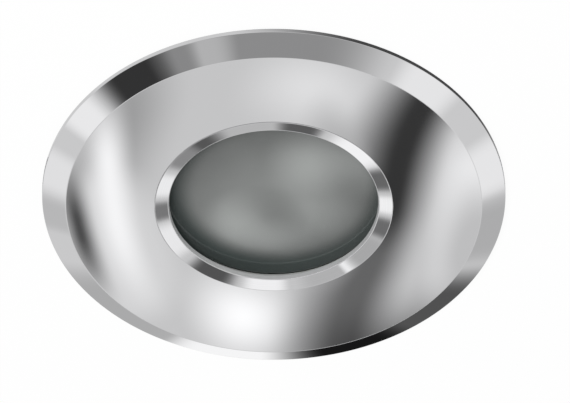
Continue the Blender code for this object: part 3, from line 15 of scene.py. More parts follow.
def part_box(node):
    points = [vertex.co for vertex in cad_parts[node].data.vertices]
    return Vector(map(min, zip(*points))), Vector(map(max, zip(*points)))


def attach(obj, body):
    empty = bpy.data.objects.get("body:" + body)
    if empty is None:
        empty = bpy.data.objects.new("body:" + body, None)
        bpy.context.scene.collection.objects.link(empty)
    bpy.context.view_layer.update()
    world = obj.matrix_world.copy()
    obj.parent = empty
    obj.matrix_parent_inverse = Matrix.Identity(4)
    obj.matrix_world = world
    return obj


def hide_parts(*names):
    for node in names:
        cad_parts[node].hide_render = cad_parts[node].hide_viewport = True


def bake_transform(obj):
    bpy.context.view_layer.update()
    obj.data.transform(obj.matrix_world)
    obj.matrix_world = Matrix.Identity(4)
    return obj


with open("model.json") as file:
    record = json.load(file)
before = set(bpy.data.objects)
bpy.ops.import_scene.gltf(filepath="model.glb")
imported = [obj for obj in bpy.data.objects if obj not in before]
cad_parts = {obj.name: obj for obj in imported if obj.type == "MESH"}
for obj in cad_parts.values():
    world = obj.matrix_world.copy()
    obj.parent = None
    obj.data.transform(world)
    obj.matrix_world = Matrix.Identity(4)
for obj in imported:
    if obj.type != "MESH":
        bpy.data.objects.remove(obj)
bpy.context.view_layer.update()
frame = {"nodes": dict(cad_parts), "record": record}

bl_info = {
    "name": "Recessed downlight",
    "version": (1, 0, 0),
    "blender": (4, 5, 0),
    "location": "View3D > Sidebar > Downlight",
    "description": "Builds the visible pieces, finishes and studio of a recessed downlight",
    "category": "Object",
}

MM = 0.001
TENTH = 0.1 * MM
FULL_TURN = 2 * math.pi
HALF_TURN = math.pi
QUARTER_TURN = math.pi / 2
MERGE_DISTANCE = 0.002 * MM
OVERRUN = 1.0 * MM
GAP = 0.3 * MM
SHARP_ANGLE = math.radians(32.0)
ARC_STEPS = 4
FLAT_SHARE = 0.45
DOME_STEPS = 14
OVAL_STEPS = 128

# Steps round a turn
PLATE_STEPS = 288
RING_STEPS = 240
CAN_STEPS = 192
LAMP_STEPS = 96
MOUTH_STEPS = 64
SMALL_STEPS = 48
POST_STEPS = 40
BORE_STEPS = 32
CAN_HOLE_STEPS = 31
SCREW_STEPS = 28
HOLE_STEPS = 24
GROOVE_STEPS = 16

# Sides of the square threads, the spring's wire and the leads
SQUARE_SIDES = 4
SPRING_SIDES = 16
LEAD_SIDES = 20


# Properties


def label(key):
    return key.replace("_", " ").capitalize()


def titled(**fixed):
    """Makes a group's properties, each named after its own key. A colour's default follows its key.

    The fixed sizes, in millimetres, follow from the CAD, so a user isn't asked for them.
    """

    def make(group):
        for key, (kind, options) in group.__annotations__.items():
            if callable(options.get("default")):
                options["default"] = options["default"](key)
            group.__annotations__[key] = getattr(bpy.props, kind + "Property")(name=label(key), **options)
        for key, millimetres in fixed.items():
            setattr(group, key, millimetres * MM)
        return group

    return make


def prop(kind, description, **options):
    return kind, {"description": description, **options}


def size(description, millimetres):
    length = {"subtype": "DISTANCE", "unit": "LENGTH", "precision": 5}
    return prop("Float", description, default=millimetres * MM, **length)


def angle(description, degrees):
    return prop("Float", description, default=math.radians(degrees), subtype="ANGLE", unit="ROTATION")


def share(description, value):
    return prop("Float", description, default=value, min=0.0, max=2.0, subtype="FACTOR")


def number(description, value):
    return prop("Int", description, default=value, min=1)


def record_colour(slot):
    return next(m for m in frame["record"]["materials"] if m["slot"] == slot)["base_color"][:3]


def colour(description):
    """A colour whose default is the record's own for the slot of that name."""
    return prop("FloatVector", description, default=record_colour, min=0.0, max=1.0, subtype="COLOR")


def group(kind):
    return prop("Pointer", kind.__doc__, type=kind)


@titled(
    face_back=-1.75, ring_seat=-3.0, seat_front=3.3, seat_radius=19.0, seat_back=5.3, ledge_radius=25.6,
    ledge_top=6.6, collar_inner=27.8, rebate_inner=37.9, rebate_outer=42.9, rebate_floor=-1.2,
    boss_circle=31.0, boss_radius=3.0, pad_face=30.1, pad_half=7.4125, hole_radius=1.5, hole_depth=9.0,
    pad_depth=3.4,
)
class PlateSizes(bpy.types.PropertyGroup):
    """The trim plate"""

    rim_radius: size("Outer radius", 45.0)
    rim_back: size("Height of the rim's back", -0.4)
    rim_front: size("Height where the chamfer starts", -1.35)
    face_radius: size("Radius where the chamfer meets the face", 40.45)
    face_edge: size("Height of the face at the chamfer", -3.75)
    face_centre: size("Height of the face at the ring", -3.9)
    counterbore: size("Radius of the ring's recess", 23.18)
    bore: size("Radius of the threaded bore", 22.4)
    collar_radius: size("Outer radius of the collar", 29.8)
    collar_top: size("Height of the collar", 12.0)
    edge_round: size("Rounding of the polished edges", 0.12)
    corner_round: size("Rounding of the hidden corners", 0.3)


@titled(
    floor=-3.3, lip_top=-2.5, lip_taper=0.2, skirt_inner=21.5, skirt_radius=22.1, skirt_top=1.4,
    thread_radius=0.45, thread_start=0.9,
)
class RingSizes(bpy.types.PropertyGroup):
    """The threaded retaining ring"""

    radius: size("Outer radius of the flange", 23.15)
    front: size("Height of the flange's front", -4.0)
    window: size("Radius of the clear window", 20.46)
    lip_front: size("Height where the funnel meets the window", -3.5)
    edge_round: size("Rounding of the edges", 0.14)
    thread_pitch: size("Rise of the thread in one turn", 2.5)
    thread_turns: share("Turns of the ridge", 1.25)


@titled(
    disc_x=1.2, disc_y=0.7, lower_inner=20.85, lower_bottom=-2.1, lower_top=-1.6,
    upper_inner=18.3, upper_bottom=2.0, upper_top=3.0,
)
class WindowSizes(bpy.types.PropertyGroup):
    """The frosted glass and the seals"""

    glass_radius: size("Radius of the glass", 21.2)
    glass_bottom: size("Height of the glass's front", -1.3)
    glass_top: size("Height of the glass's back", 1.7)
    glass_round: size("Rounding of the glass's edges", 0.35)
    # The pale disc behind the glass is painted light, fading into painted shade at its rim
    bright_radius: size("Radius where the pale disc behind starts to fade", 16.15)
    dark_radius: size("Radius where that disc has faded", 21.5)
    haze: share("How much the etched front hides", 0.08)
    gasket_inner: size("Inner radius of the ceiling gasket", 38.2)
    gasket_outer: size("Outer radius of the ceiling gasket", 42.6)
    gasket_thickness: size("Thickness of the ceiling gasket", 0.9)


@titled(
    lens_thickness=1.8, rim_height=3.2, neck_height=6.0, base_height=9.3, base_taper=1.4,
    socket_depth=5.0, stem_radius=2.4, stem_height=4.7, pin_neck=1.5, pin_head=3.0, pin_round=0.6,
)
class LampSizes(bpy.types.PropertyGroup):
    """The lamp that twists into its holder"""

    lens_radius: size("Radius of the lens", 23.2)
    wall: size("Thickness of the bowl", 1.5)
    neck_radius: size("Outer radius of the neck", 9.6)
    facets: number("Facets round the bowl", 24)
    facet_rows: number("Rows of facets up the bowl", 7)
    facet_depth: size("How far a facet's middle stands in", 0.35)
    capsule_radius: size("Radius of the capsule", 4.6)


@titled(
    neck_slot=1.8, head_slot=2.7, ledge=3.0, cavity=8.6, screw_place=8.0, hole_radius=1.5, hole_depth=4.1,
    strap_middle=11.0, strap_crank=2.6, strap_corner=2.0,
)
class HolderSizes(bpy.types.PropertyGroup):
    """The ceramic lampholder and its strap"""

    edge_round: size("Rounding of the top edge", 1.0)
    pin_circle: size("Radius of the circle of slots", 5.0)
    twist: angle("How far the lamp turns to lock", 25.0)
    strap_thickness: size("Thickness of the strap", 1.0)


@titled(
    spigot=27.5, flange_radius=29.8, flange_bottom=13.4, flange_top=15.4, ceiling=69.1, ear_radius=3.2,
    rib_round=0.5, seal_bore=27.8,
)
class CanSizes(bpy.types.PropertyGroup):
    """The cast can behind the plate"""

    radius: size("Outer radius", 28.0)
    bore: size("Inner radius", 26.3)
    shoulder: size("Height where the wall leans in", 62.1)
    top_radius: size("Outer radius of the top", 24.41)
    fillet: size("Rounding of the edges", 0.7)
    ribs: number("Cooling ribs", 16)
    rib_radius: size("Radius to the ribs' tips", 30.2)
    rib_thickness: size("Thickness of a rib", 1.4)
    rib_low: size("Height of the ribs' lower ends", 23.4)
    rib_high: size("Height of the ribs' upper ends", 59.1)
    rib_slope: size("How much lower a tip ends", 2.2)


@titled(
    pillar_x=18.9, pillar_y=13.9, pillar_depth=7.0, hole_radius=1.5, screw_place=17.0, gland_hole=6.3,
    gland_height=81.3, grommet_hole=4.5, grommet_bore=3.0, grommet_neck=4.2, grommet_flange=1.0,
    grommet_place=-8.0, earth_x=10.5, earth_y=-10.0, plug_height=1.5, pole_spacing=7.6, well_radius=1.9,
    well_depth=6.5, way_radius=1.5, way_height=3.4, lead_foot=3.0, lead_apart=1.3,
)
class BoxSizes(bpy.types.PropertyGroup):
    """The terminal box, its block, grommet and leads"""

    corner: size("Rounding of the upright corners", 3.0)
    wall: size("Thickness of the walls", 1.8)
    edge_round: size("Rounding of the edges", 0.45)
    pillar_radius: size("Radius of a screw pillar", 2.6)
    panel_border: size("Border round the lid's panel", 5.6)
    groove: size("Width and twice the depth of a groove", 0.7)
    lead_radius: size("Radius of a lead", 0.8)
    lead_bend: size("Room that a lead takes to bend", 3.0)


@titled(
    bore=4.1, neck_radius=6.0, inner_end=-4.0, hex_start=0.3, hex_end=3.8, pocket=6.8, neck_end=11.8,
    thread_depth=0.22, seal_bore=4.3, seal_radius=5.0, nut_start=4.1, nut_wall=1.4,
)
class GlandSizes(bpy.types.PropertyGroup):
    """The cable gland, measured outwards from the box's end wall"""

    hex_radius: size("Radius to the hexagon's corners", 7.8)
    thread_pitch: size("Pitch of the thread", 1.2)
    nut_radius: size("Outer radius of the nut", 7.6)
    nut_end: size("Where the nut ends", 13.5)
    nut_round: size("Rounding of the nut's end", 2.0)
    grips: number("Grip grooves", 20)
    grip_width: size("Width of a grip groove", 0.9)
    grip_depth: size("Depth of a grip groove", 0.5)


@titled(
    clip_head_radius=1.8, head_round=0.5, shank_radius=1.2, housing_length=9.5, lid_length=8.0,
    box_length=7.4, holder_length=5.4, earth_length=4.0, clip_length=3.4, pole_radius=1.5,
    pole_length=3.2,
)
class ScrewSizes(bpy.types.PropertyGroup):
    """The slotted screws"""

    head_radius: size("Radius of a head", 2.1)
    head_height: size("Height of a head", 1.4)
    slot_width: size("Width of the slot", 0.6)
    slot_depth: size("Depth of the slot", 0.7)
    thread_depth: size("Depth of the thread", 0.2)
    pitch: size("Pitch of the thread", 0.45)
    slot_turn: angle("Range of the slots' directions", 180.0)
    seed: number("Seed of the slots' directions", 7)


@titled(
    pivot_out=33.8, pivot_height=8.0, screw_height=2.5, bracket_back=30.4, bracket_low=0.4,
    bracket_high=15.0, ear_inner=6.0125, ear_outer=7.0125, ear_bend=1.2, inner_bend=0.35, ear_fillet=0.8,
    pin_radius=1.0, pin_head=1.8, pin_head_length=0.8, hole_radius=1.3, coil_half=3.4125, spring_foot=6.0,
    spring_leg=14.0, arm_heel=1.0, arm_top=-2.5, arm_bottom=-3.3, lug_inner=4.8125, lug_outer=5.7125,
    lug_foot=5.0, lug_bend=0.8, bead_middle=14.5, bead_length=5.5, bead_width=1.5, bead_round=1.4,
    sleeve_start=23.0, sleeve_wall=1.0, groove_first=3.0,
)
class ClipSizes(bpy.types.PropertyGroup):
    """The spring clips that hold the light in the ceiling"""

    bracket_sheet: size("Thickness of the bracket", 0.8)
    ear_radius: size("Radius of an ear's nose", 2.6)
    wire_radius: size("Radius of the spring's wire", 0.4)
    coil_radius: size("Radius of the coil", 1.8)
    coil_turns: prop("Float", "Turns of the coil", default=5.25)
    rest_slope: angle("How far the arm leans at rest", 4.0)
    arm_length: size("Length of the arm from the pivot", 36.0)
    lug_radius: size("Radius of a lug's nose", 2.2)
    sleeve_round: size("Rounding of the sleeve's edges", 0.9)
    grooves: number("Grooves across the sleeve", 4)
    groove_spacing: size("From groove to groove", 2.2)
    groove_radius: size("Radius of a groove", 0.45)


@titled()
class FinishColours(bpy.types.PropertyGroup):
    """Base colour of each finish"""

    chrome_plate: colour("The trim plate")
    turned_chrome: colour("The retaining ring")
    frosted_glass: colour("The window's haze")
    clear_glass: colour("The lamp's lens and capsule")
    mirror_coat: colour("The lamp's reflector")
    grey_foam: colour("The ceiling gasket")
    black_silicone: colour("Seals, grommet and sleeves")
    pale_silicone: colour("The seal under the glass")
    white_ceramic: colour("The lamp's base and its holder")
    zinc_plated_steel: colour("Screws and clips")
    spring_steel: colour("Springs and clip pins")
    brass: colour("Contacts and terminal screws")
    cast_aluminium: colour("The can")
    black_nylon: colour("The terminal box")
    grey_nylon: colour("The cable gland")
    natural_nylon: colour("The terminal block")
    brown_lead: colour("The live lead")
    blue_lead: colour("The neutral lead")
    green_lead: colour("The earth lead")


@titled()
class StudioSettings(bpy.types.PropertyGroup):
    """Camera, lamps and ceiling"""

    lens: prop("Float", "Focal length in millimetres", default=1100.0, unit="CAMERA")
    distance: size("From the camera to what it looks at", 3383.6)
    elevation: angle("The camera's angle above the horizon", -45.0)
    aim_x: size("Where the camera looks, across", 2.18)
    aim_y: size("Where the camera looks, in depth", 1.228)
    aim_z: size("Where the camera looks, in height", -1.228)
    ceiling_radius: size("Radius of the ceiling board", 500.0)
    cutout_radius: size("Radius of the hole in the board", 37.5)
    ceiling_height: size("Height of the board's lower surface", 0.1)
    shadow: share("How much of the real shadow the board shows", 0.05)
    card_distance: size("From the face to the card that it mirrors", 400.0)
    card_half_x: size("Half the width of the oval card", 62.0)
    card_half_y: size("Half the height of the oval card", 54.0)
    room_level: share("Soft light from all round", 0.55)
    mirror_level: share("What polished metal mirrors between the cards", 0.72)


@titled()
class RecessedLight(bpy.types.PropertyGroup):
    """All the sizes and colours of the light"""

    plate: group(PlateSizes)
    ring: group(RingSizes)
    window: group(WindowSizes)
    lamp: group(LampSizes)
    holder: group(HolderSizes)
    can: group(CanSizes)
    box: group(BoxSizes)
    gland: group(GlandSizes)
    screws: group(ScrewSizes)
    clips: group(ClipSizes)
    colours: group(FinishColours)
    studio: group(StudioSettings)


def settings():
    return bpy.context.scene.recessed_light


# Node trees

NODE_KINDS = ("GeometryNode", "ShaderNode", "FunctionNode", "Node")
OPERATIONS = {"add": "ADD", "sub": "SUBTRACT", "mul": "MULTIPLY", "truediv": "DIVIDE", "pow": "POWER"}
WHITE = (1, 1, 1, 1)


class Signal:
    """A socket that takes part in sums: each operator adds a Math node to its tree."""

    def __init__(self, bench, socket):
        self.bench, self.socket = bench, socket

    def sum(self, operation, *terms):
        return self.bench.add("Math", dict(enumerate(terms)), operation=operation)

    def out(self, name):
        """Another output of the same node."""
        return Signal(self.bench, self.socket.node.outputs[name])

    def size(self):
        return self.sum("ABSOLUTE", self)

    def between(self, low, high):
        """Rises smoothly from 0 at low to 1 at high. Low may be the larger."""
        sockets = {"Value": self, "From Min": min(low, high), "From Max": max(low, high)}
        if low > high:
            sockets |= {"To Min": 1.0, "To Max": 0.0}
        return self.bench.add("MapRange", sockets, interpolation_type="SMOOTHSTEP")


for sign, operation in OPERATIONS.items():
    setattr(Signal, f"__{sign}__", lambda self, other, how=operation: self.sum(how, self, other))
    setattr(Signal, f"__r{sign}__", lambda self, other, how=operation: self.sum(how, other, self))


class Bench:
    """A node tree and the one way to put nodes on it."""

    def __init__(self, tree):
        self.tree = tree
        tree.nodes.clear()

    def add(self, kind, sockets=(), output=0, **options):
        """Adds a node: its options are set first, then the values or links of its sockets."""
        start = next(start for start in NODE_KINDS if hasattr(bpy.types, start + kind))
        node = self.tree.nodes.new(start + kind)
        for key, value in options.items():
            setattr(node, key, value)
        for key, value in dict(sockets).items():
            for part in value if isinstance(value, list) else [value]:
                if isinstance(part, Signal):
                    self.tree.links.new(part.socket, node.inputs[key])
                else:
                    node.inputs[key].default_value = part
        return Signal(self, node.outputs[output]) if node.outputs else node

    def place(self):
        """Object coordinates as x, y and z."""
        split = self.add("SeparateXYZ", {0: self.add("TexCoord", output=3)})
        return split, split.out("Y"), split.out("Z")

    def upward(self, height):
        return self.add("CombineXYZ", {"Z": height})

    def noise(self, grain, detail, stretch=None):
        """Noise from 0 to 1 whose spots are about one grain wide."""
        vector = self.add("TexCoord", output=3)
        if stretch:
            vector = self.add("VectorMath", {0: vector, 1: stretch}, operation="MULTIPLY")
        return self.add("TexNoise", {"Vector": vector, "Scale": 1 / grain, "Detail": detail})

    def blend(self, factor, first, second):
        """A colour between two others."""
        first, second = (end if isinstance(end, Signal) else (*end[:3], 1.0) for end in (first, second))
        return self.add("Mix", {0: factor, 6: first, 7: second}, 2, data_type="RGBA")

    def mix(self, factor, first, second):
        return self.add("MixShader", {0: factor, 1: first, 2: second})

    def surface(self, colour, roughness, height, reach, **more):
        """Closes the tree. Height from 0 to 1 pushes the surface out by up to reach metres."""
        bump = self.add("Bump", {"Strength": 1.0, "Distance": reach, "Height": height})
        sockets = {"Base Color": colour, "Roughness": roughness, "Normal": bump, **more}
        self.close(self.add("BsdfPrincipled", sockets))

    def close(self, shader):
        self.add("OutputMaterial", {"Surface": shader})


def scaled(value, factor):
    return tuple(min(1.0, part * factor) for part in value)


def painted(name, paint, *details):
    """A new material whose tree is made by paint."""
    material = bpy.data.materials.new(name)
    material.use_nodes = True
    paint(Bench(material.node_tree), *details)
    return material


def distance(x, y):
    return (x * x + y * y) ** 0.5


# Where the plate's polish ends, and the widths of the plating's clouds and the cast grain
POLISH_END = (-0.6 * MM, 0.2 * MM)
PLATE_GRAINS = (7 * MM, 0.35 * MM)
PLATE_BUMP = 0.03 * MM

# Turning marks: width, clouds, bump, then the fade of the lip's matt bore across and in height
MARK_WIDTH = 0.16 * MM
MARK_CLOUD = 4 * MM
MARK_BUMP = 0.0008 * MM
LIP_FADE = 0.06 * MM
LIP_HEIGHTS = (-2.0 * MM, -2.2 * MM)

# The glass's etching and clouds, its bump, and how deep from the front the haze fades
GLASS_GRAINS = (1.1 * MM, 7 * MM)
GLASS_BUMP = 0.006 * MM
HAZE_DEPTHS = (0.5 * MM, 0.1 * MM)
# Colour of the painted shade at the rim of the painted glow behind the glass, where the dark seal also sits
GLASS_RIM_SHADE = (0.004, 0.016, 0.014)
GLASS_IOR = 1.5

# Painted highlights seen through the etched glass, standing in for the lit reflector behind the frost; a
# level below zero is painted shade: place and reach in millimetres, and how much paler
GLASS_PAINTED_LIGHT = (
    (7.5, -6.8, 11.0, 0.49), (-4.8, 10.3, 10.9, 0.67), (-2.8, -1.4, 15.9, 0.22), (7.1, 7.0, 14.9, 0.38),
    (-1.6, 8.1, 9.5, -0.49), (1.0, 16.0, 8.5, 0.2), (-13.7, 9.4, 17.4, 0.17), (20.0, -6.3, 11.5, 0.39),
)

# The lamp's pressed glass: width and height of its dimples
DIMPLE = (2.2 * MM, 0.05 * MM)


def paint_chrome(bench, tint):
    """Bright plating on the front; the cast back is plated but not polished."""
    polish, clouding, cast, cast_spread, cast_tone = 0.018, 0.014, 0.24, 0.16, 0.78
    x, y, z = bench.place()
    back = z.between(*POLISH_END)
    cloud, grain = bench.noise(PLATE_GRAINS[0], 2.0), bench.noise(PLATE_GRAINS[1], 4.0)
    roughness = polish + clouding * cloud + back * (cast + cast_spread * grain)
    tone = bench.blend(back, tint, scaled(tint, cast_tone))
    bench.surface(tone, roughness, grain * back, PLATE_BUMP, Metallic=1.0)


def paint_turned_chrome(bench, tint):
    """Fine turning marks run round the ring; the lip's bore is matt."""
    polish, mark_spread, clouding, matt, dull, dark, bright = 0.016, 0.02, 0.01, 0.4, 0.35, 0.92, 1.06
    x, y, z = bench.place()
    radius = distance(x, y)
    sockets = {"W": (radius + z) / MARK_WIDTH, "Scale": 1.0, "Detail": 3.0}
    marks = bench.add("TexNoise", sockets, noise_dimensions="1D")
    opening = settings().ring.window
    bore = radius.between(opening + LIP_FADE, opening) * z.between(*LIP_HEIGHTS)
    roughness = polish + mark_spread * marks + clouding * bench.noise(MARK_CLOUD, 2.0) + matt * bore
    tone = bench.blend(marks, scaled(tint, dark), scaled(tint, bright))
    bench.surface(tone, roughness, marks, MARK_BUMP, Metallic=1.0 - dull * bore)


def paint_frosted_glass(bench, tint):
    """Etched on both sides: a thin haze in front, and a pale disc behind that darkens at its rim."""
    pale, clouding, fade, glow_warmth, etched, matt, spread = 0.188, 0.06, 0.97, 1.035, 0.94, 0.33, 0.1
    window = settings().window
    x, y, z = bench.place()
    front = z.between(*(window.glass_bottom + depth for depth in HAZE_DEPTHS))
    etch = bench.noise(GLASS_GRAINS[0], 3.0)
    # Painted light: the pale glow behind the haze, clouded and with painted highlights on it
    level = pale + clouding * bench.noise(GLASS_GRAINS[1], 2.0)
    for across, depth, reach, amount in GLASS_PAINTED_LIGHT:
        away = distance(x / MM - across, y / MM - depth)
        level = level + away.between(reach, 0.0) * amount
    # Painted shade darkens the glow towards its rim, where the dark seal also sits
    rim = distance(x - window.disc_x, y - window.disc_y).between(window.bright_radius, window.dark_radius)
    dark = bench.blend(rim, (0.0, 0.0, 0.0), GLASS_RIM_SHADE)
    behind = bench.blend(level * (1.0 - rim * fade), dark, (tint[0] * glow_warmth, *tint[1:]))
    tone = bench.blend(front, behind, bench.blend(etch, scaled(tint, etched), tint))
    alpha = 1.0 - front * (1.0 - window.haze)
    bench.surface(tone, matt + spread * etch, etch, GLASS_BUMP, Alpha=alpha, IOR=GLASS_IOR)


def paint_clear_glass(bench, tint):
    polish, spread, least, more = 0.03, 0.05, 0.25, 0.15
    dimple = bench.noise(DIMPLE[0], 1.0)
    alpha = least + more * dimple
    bench.surface((*tint, 1.0), polish + spread * dimple, dimple, DIMPLE[1], Alpha=alpha)


def paint_grained(bench, tint, metallic, roughness, spread, grain, height, stretch=None):
    """A plain finish with its own grain: roughness, colour and bump follow one noise."""
    grains_in_cloud, fine_share = 14, 0.6
    fine = bench.noise(grain * MM, 4.0, stretch)
    cloud = bench.noise(grain * MM * grains_in_cloud, 2.0)
    tone = bench.blend((fine + cloud) * 0.5, scaled(tint, 1 - spread), scaled(tint, 1 + spread))
    mixed = fine * fine_share + cloud * (1 - fine_share)
    rough = roughness * (1 - spread) + roughness * spread * 2.0 * mixed
    bench.surface(tone, rough, fine, height * MM, Metallic=metallic)


# Metallic, roughness, spread, grain and bump in millimetres, and stretch of the plain finishes
GRAINS = {
    "mirror_coat": (1.0, 0.09, 0.12, 1.8, 0.04),
    "grey_foam": (0.0, 0.92, 0.35, 0.35, 0.16),
    "black_silicone": (0.0, 0.55, 0.18, 0.5, 0.012),
    "pale_silicone": (0.0, 0.42, 0.12, 0.6, 0.012),
    "white_ceramic": (0.0, 0.42, 0.08, 0.3, 0.02),
    "zinc_plated_steel": (1.0, 0.3, 0.22, 0.5, 0.006, (1.0, 0.25, 1.0)),
    "spring_steel": (1.0, 0.3, 0.2, 0.25, 0.006),
    "brass": (1.0, 0.27, 0.15, 0.3, 0.006),
    "cast_aluminium": (1.0, 0.46, 0.14, 0.45, 0.035),
    "black_nylon": (0.0, 0.48, 0.2, 0.3, 0.02),
    "grey_nylon": (0.0, 0.45, 0.12, 0.3, 0.02),
    "natural_nylon": (0.0, 0.4, 0.06, 0.4, 0.015),
    **dict.fromkeys(("brown_lead", "blue_lead", "green_lead"), (0.0, 0.4, 0.1, 0.5, 0.008)),
}
PAINTERS = {
    "chrome_plate": paint_chrome,
    "turned_chrome": paint_turned_chrome,
    "frosted_glass": paint_frosted_glass,
    "clear_glass": paint_clear_glass,
}


def finish(slot):
    """The material of a slot, made when it is first asked for."""
    ready = bpy.data.materials.get(slot + "_finish")
    tint, paint = tuple(getattr(settings().colours, slot)), PAINTERS.get(slot, paint_grained)
    return ready or painted(slot + "_finish", paint, tint, *GRAINS.get(slot, ()))


# Geometry


def polar(radius, turn):
    return radius * math.cos(turn), radius * math.sin(turn)


def circle(steps, radius=1.0):
    return [polar(radius, FULL_TURN * i / steps) for i in range(steps)]


def arc(radius, first, last, steps, centre=(0, 0)):
    places = [polar(radius, first + (last - first) * i / steps) for i in range(steps + 1)]
    return [(centre[0] + x, centre[1] + y) for x, y in places]


def stairs(values, edges):
    """Corners of an outline in right angles: a radius, a height, a radius and so on, and each rounding."""
    pairs = enumerate(zip(values, values[1:], edges))
    return [(b, a, edge) if i % 2 else (a, b, edge) for i, (a, b, edge) in pairs]


def rounded(corners, closed=True, support=0.0):
    """Replaces each corner that brings a radius as its third number by an arc.

    Support adds a point that far beyond each end of the arc, so the flats beside it stay flat.
    """
    points = []
    for i, (x, y, *own) in enumerate(corners):
        here = Vector((x, y))
        if not any(own) or (not closed and i in (0, len(corners) - 1)):
            points.append(tuple(here))
            continue
        back, ahead = (Vector(corners[j % len(corners)][:2]) - here for j in (i - 1, i + 1))
        half = back.angle(ahead) / 2
        reach = min(own[0] / math.tan(half), min(back.length, ahead.length) * FLAT_SHARE)
        start, end = here + back.normalized() * reach, here + ahead.normalized() * reach
        middle = (back.normalized() + ahead.normalized()).normalized()
        centre = here + middle * (reach * math.tan(half) / math.sin(half))
        first, second = start - centre, end - centre
        sweep = first.angle(second)
        if support and back.length > 2 * (reach + support):
            points.append(tuple(start + back.normalized() * support))
        for k in range(ARC_STEPS + 1):
            t = k / ARC_STEPS
            mix = first * math.sin((1 - t) * sweep) + second * math.sin(t * sweep)
            points.append(tuple(centre + mix / math.sin(sweep)))
        if support and ahead.length > 2 * (reach + support):
            points.append(tuple(end + ahead.normalized() * support))
    return points


def linked(name, mesh):
    item = bpy.data.objects.new(name, mesh)
    bpy.context.scene.collection.objects.link(item)
    return item


def as_object(shape, outward=True):
    """The bmesh as an object of the scene."""
    if outward:
        bmesh.ops.recalc_face_normals(shape, faces=shape.faces)
    item = linked("shape", bpy.data.meshes.new("shape"))
    shape.to_mesh(item.data)
    shape.free()
    return item


def turned(outline, steps, support=0.0):
    """A mesh turned about Z from (radius, height) points. One that starts on the axis ends there too."""
    closed = outline[0][0] > 0
    shape, rings = bmesh.new(), []
    for radius, height in rounded(outline, closed, support):
        places = circle(steps, radius) if radius > MERGE_DISTANCE else [(0, 0)]
        rings.append([shape.verts.new((x, y, height)) for x, y in places])
    for first, second in zip(rings, rings[1:] + rings[:1] if closed else rings[1:]):
        for i in range(steps):
            j = (i + 1) % steps
            ends = [first[i % len(first)], first[j % len(first)]]
            ends += [second[j % len(second)], second[i % len(second)]]
            corners = list(dict.fromkeys(ends))
            if len(corners) > 2:
                shape.faces.new(corners)
    return as_object(shape)


def hoop(inner, outer, low, high, edge=0.0, steps=RING_STEPS):
    """A ring of rectangular section."""
    return turned(stairs((outer, low, inner, high, outer), [edge] * 4), steps)


def bevel(shape, edges, width, segments):
    if width:
        options = {"segments": segments, "profile": 0.5, "affect": "EDGES", "clamp_overlap": True}
        bmesh.ops.bevel(shape, geom=edges, offset=width, **options)


def block(low, high, edge=0.0, segments=3):
    """A box between two corners with rounded edges."""
    low, high = Vector(low), Vector(high)
    shape = bmesh.new()
    matrix = Matrix.Translation((low + high) / 2) @ Matrix.Diagonal((*(high - low), 1))
    bmesh.ops.create_cube(shape, size=1.0, matrix=matrix)
    bevel(shape, list(shape.edges), edge, segments)
    return as_object(shape)


def drum(radius, low, high, steps=HOLE_STEPS, centre=(0, 0), edge=0.0):
    """An upright cylinder."""
    item = turned(stairs((0, high, radius, low, 0), (0, edge, edge, 0)), steps)
    return shifted(item, *centre, 0)


def drums(spots, low, high, steps=HOLE_STEPS, edge=0.0):
    """Upright cylinders, each at its radius, x and y."""
    return [drum(radius, low, high, steps, centre, edge) for radius, *centre in spots]


def slab(outline, low, high, edge=0.0):
    """A closed flat outline in X and Y, extruded from low to high, with rounded rims."""
    shape = bmesh.new()
    outline = rounded(outline)
    bottom, top = ([shape.verts.new((*point, level)) for point in outline] for level in (low, high))
    caps = [shape.faces.new(bottom), shape.faces.new(top)]
    for i in range(len(outline)):
        j = (i + 1) % len(outline)
        shape.faces.new((bottom[i], bottom[j], top[j], top[i]))
    bmesh.ops.recalc_face_normals(shape, faces=shape.faces)
    bevel(shape, [line for cap in caps for line in cap.edges], edge, 2)
    return as_object(shape)


def rectangle(half_x, half_y, corner, middle=0.0):
    return [(middle + a * half_x, b * half_y, corner) for a, b in ((1, 1), (-1, 1), (-1, -1), (1, -1))]


def corners_of(node):
    low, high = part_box(node)
    return Vector(low), Vector(high)


def moved(item, matrix):
    """Puts the place in the mesh, so the object stays at the origin."""
    item.data.transform(matrix)
    return item


def shifted(item, x, y, z):
    return moved(item, Matrix.Translation((x, y, z)))


def upright(item):
    """Turns an outline drawn in X and Y into one in X and Z."""
    return moved(item, Matrix.Rotation(QUARTER_TURN, 4, "X"))


def aimed(side, x, z):
    """Lays what stands on Z along X, to the right for side 1 and to the left for -1, at x and z."""
    return Matrix.Translation((x, 0, z)) @ Matrix.Rotation(side * QUARTER_TURN, 4, "Y")


def settle(item):
    """Makes what the modifiers give into the object's own plain mesh."""
    graph = bpy.context.evaluated_depsgraph_get()
    mesh, old = bpy.data.meshes.new_from_object(item.evaluated_get(graph)), item.data
    item.modifiers.clear()
    item.data = mesh
    bpy.data.meshes.remove(old)
    return item


def reworked(item, work):
    """Runs work on the item's mesh as a bmesh."""
    shape = bmesh.new()
    shape.from_mesh(item.data)
    work(shape)
    shape.to_mesh(item.data)
    shape.free()
    return item


def clean(shape):
    bmesh.ops.remove_doubles(shape, verts=shape.verts, dist=MERGE_DISTANCE / 2)
    bmesh.ops.dissolve_degenerate(shape, edges=shape.edges, dist=MERGE_DISTANCE / 2)


def carve(item, operation, others):
    """Joins or cuts with the other shapes, which are used up."""
    for other in others:
        boolean = item.modifiers.new(other.name, "BOOLEAN")
        boolean.operation = operation
        boolean.solver = "EXACT"
        boolean.object = other
    bpy.context.view_layer.update()
    reworked(settle(item), clean)
    discard(others)
    return item


def cut(item, *others):
    return carve(item, "DIFFERENCE", others)


def join(item, *others):
    return carve(item, "UNION", others)


def discard(items):
    for item in items:
        mesh = item.data
        bpy.data.objects.remove(item, do_unlink=True)
        bpy.data.meshes.remove(mesh)


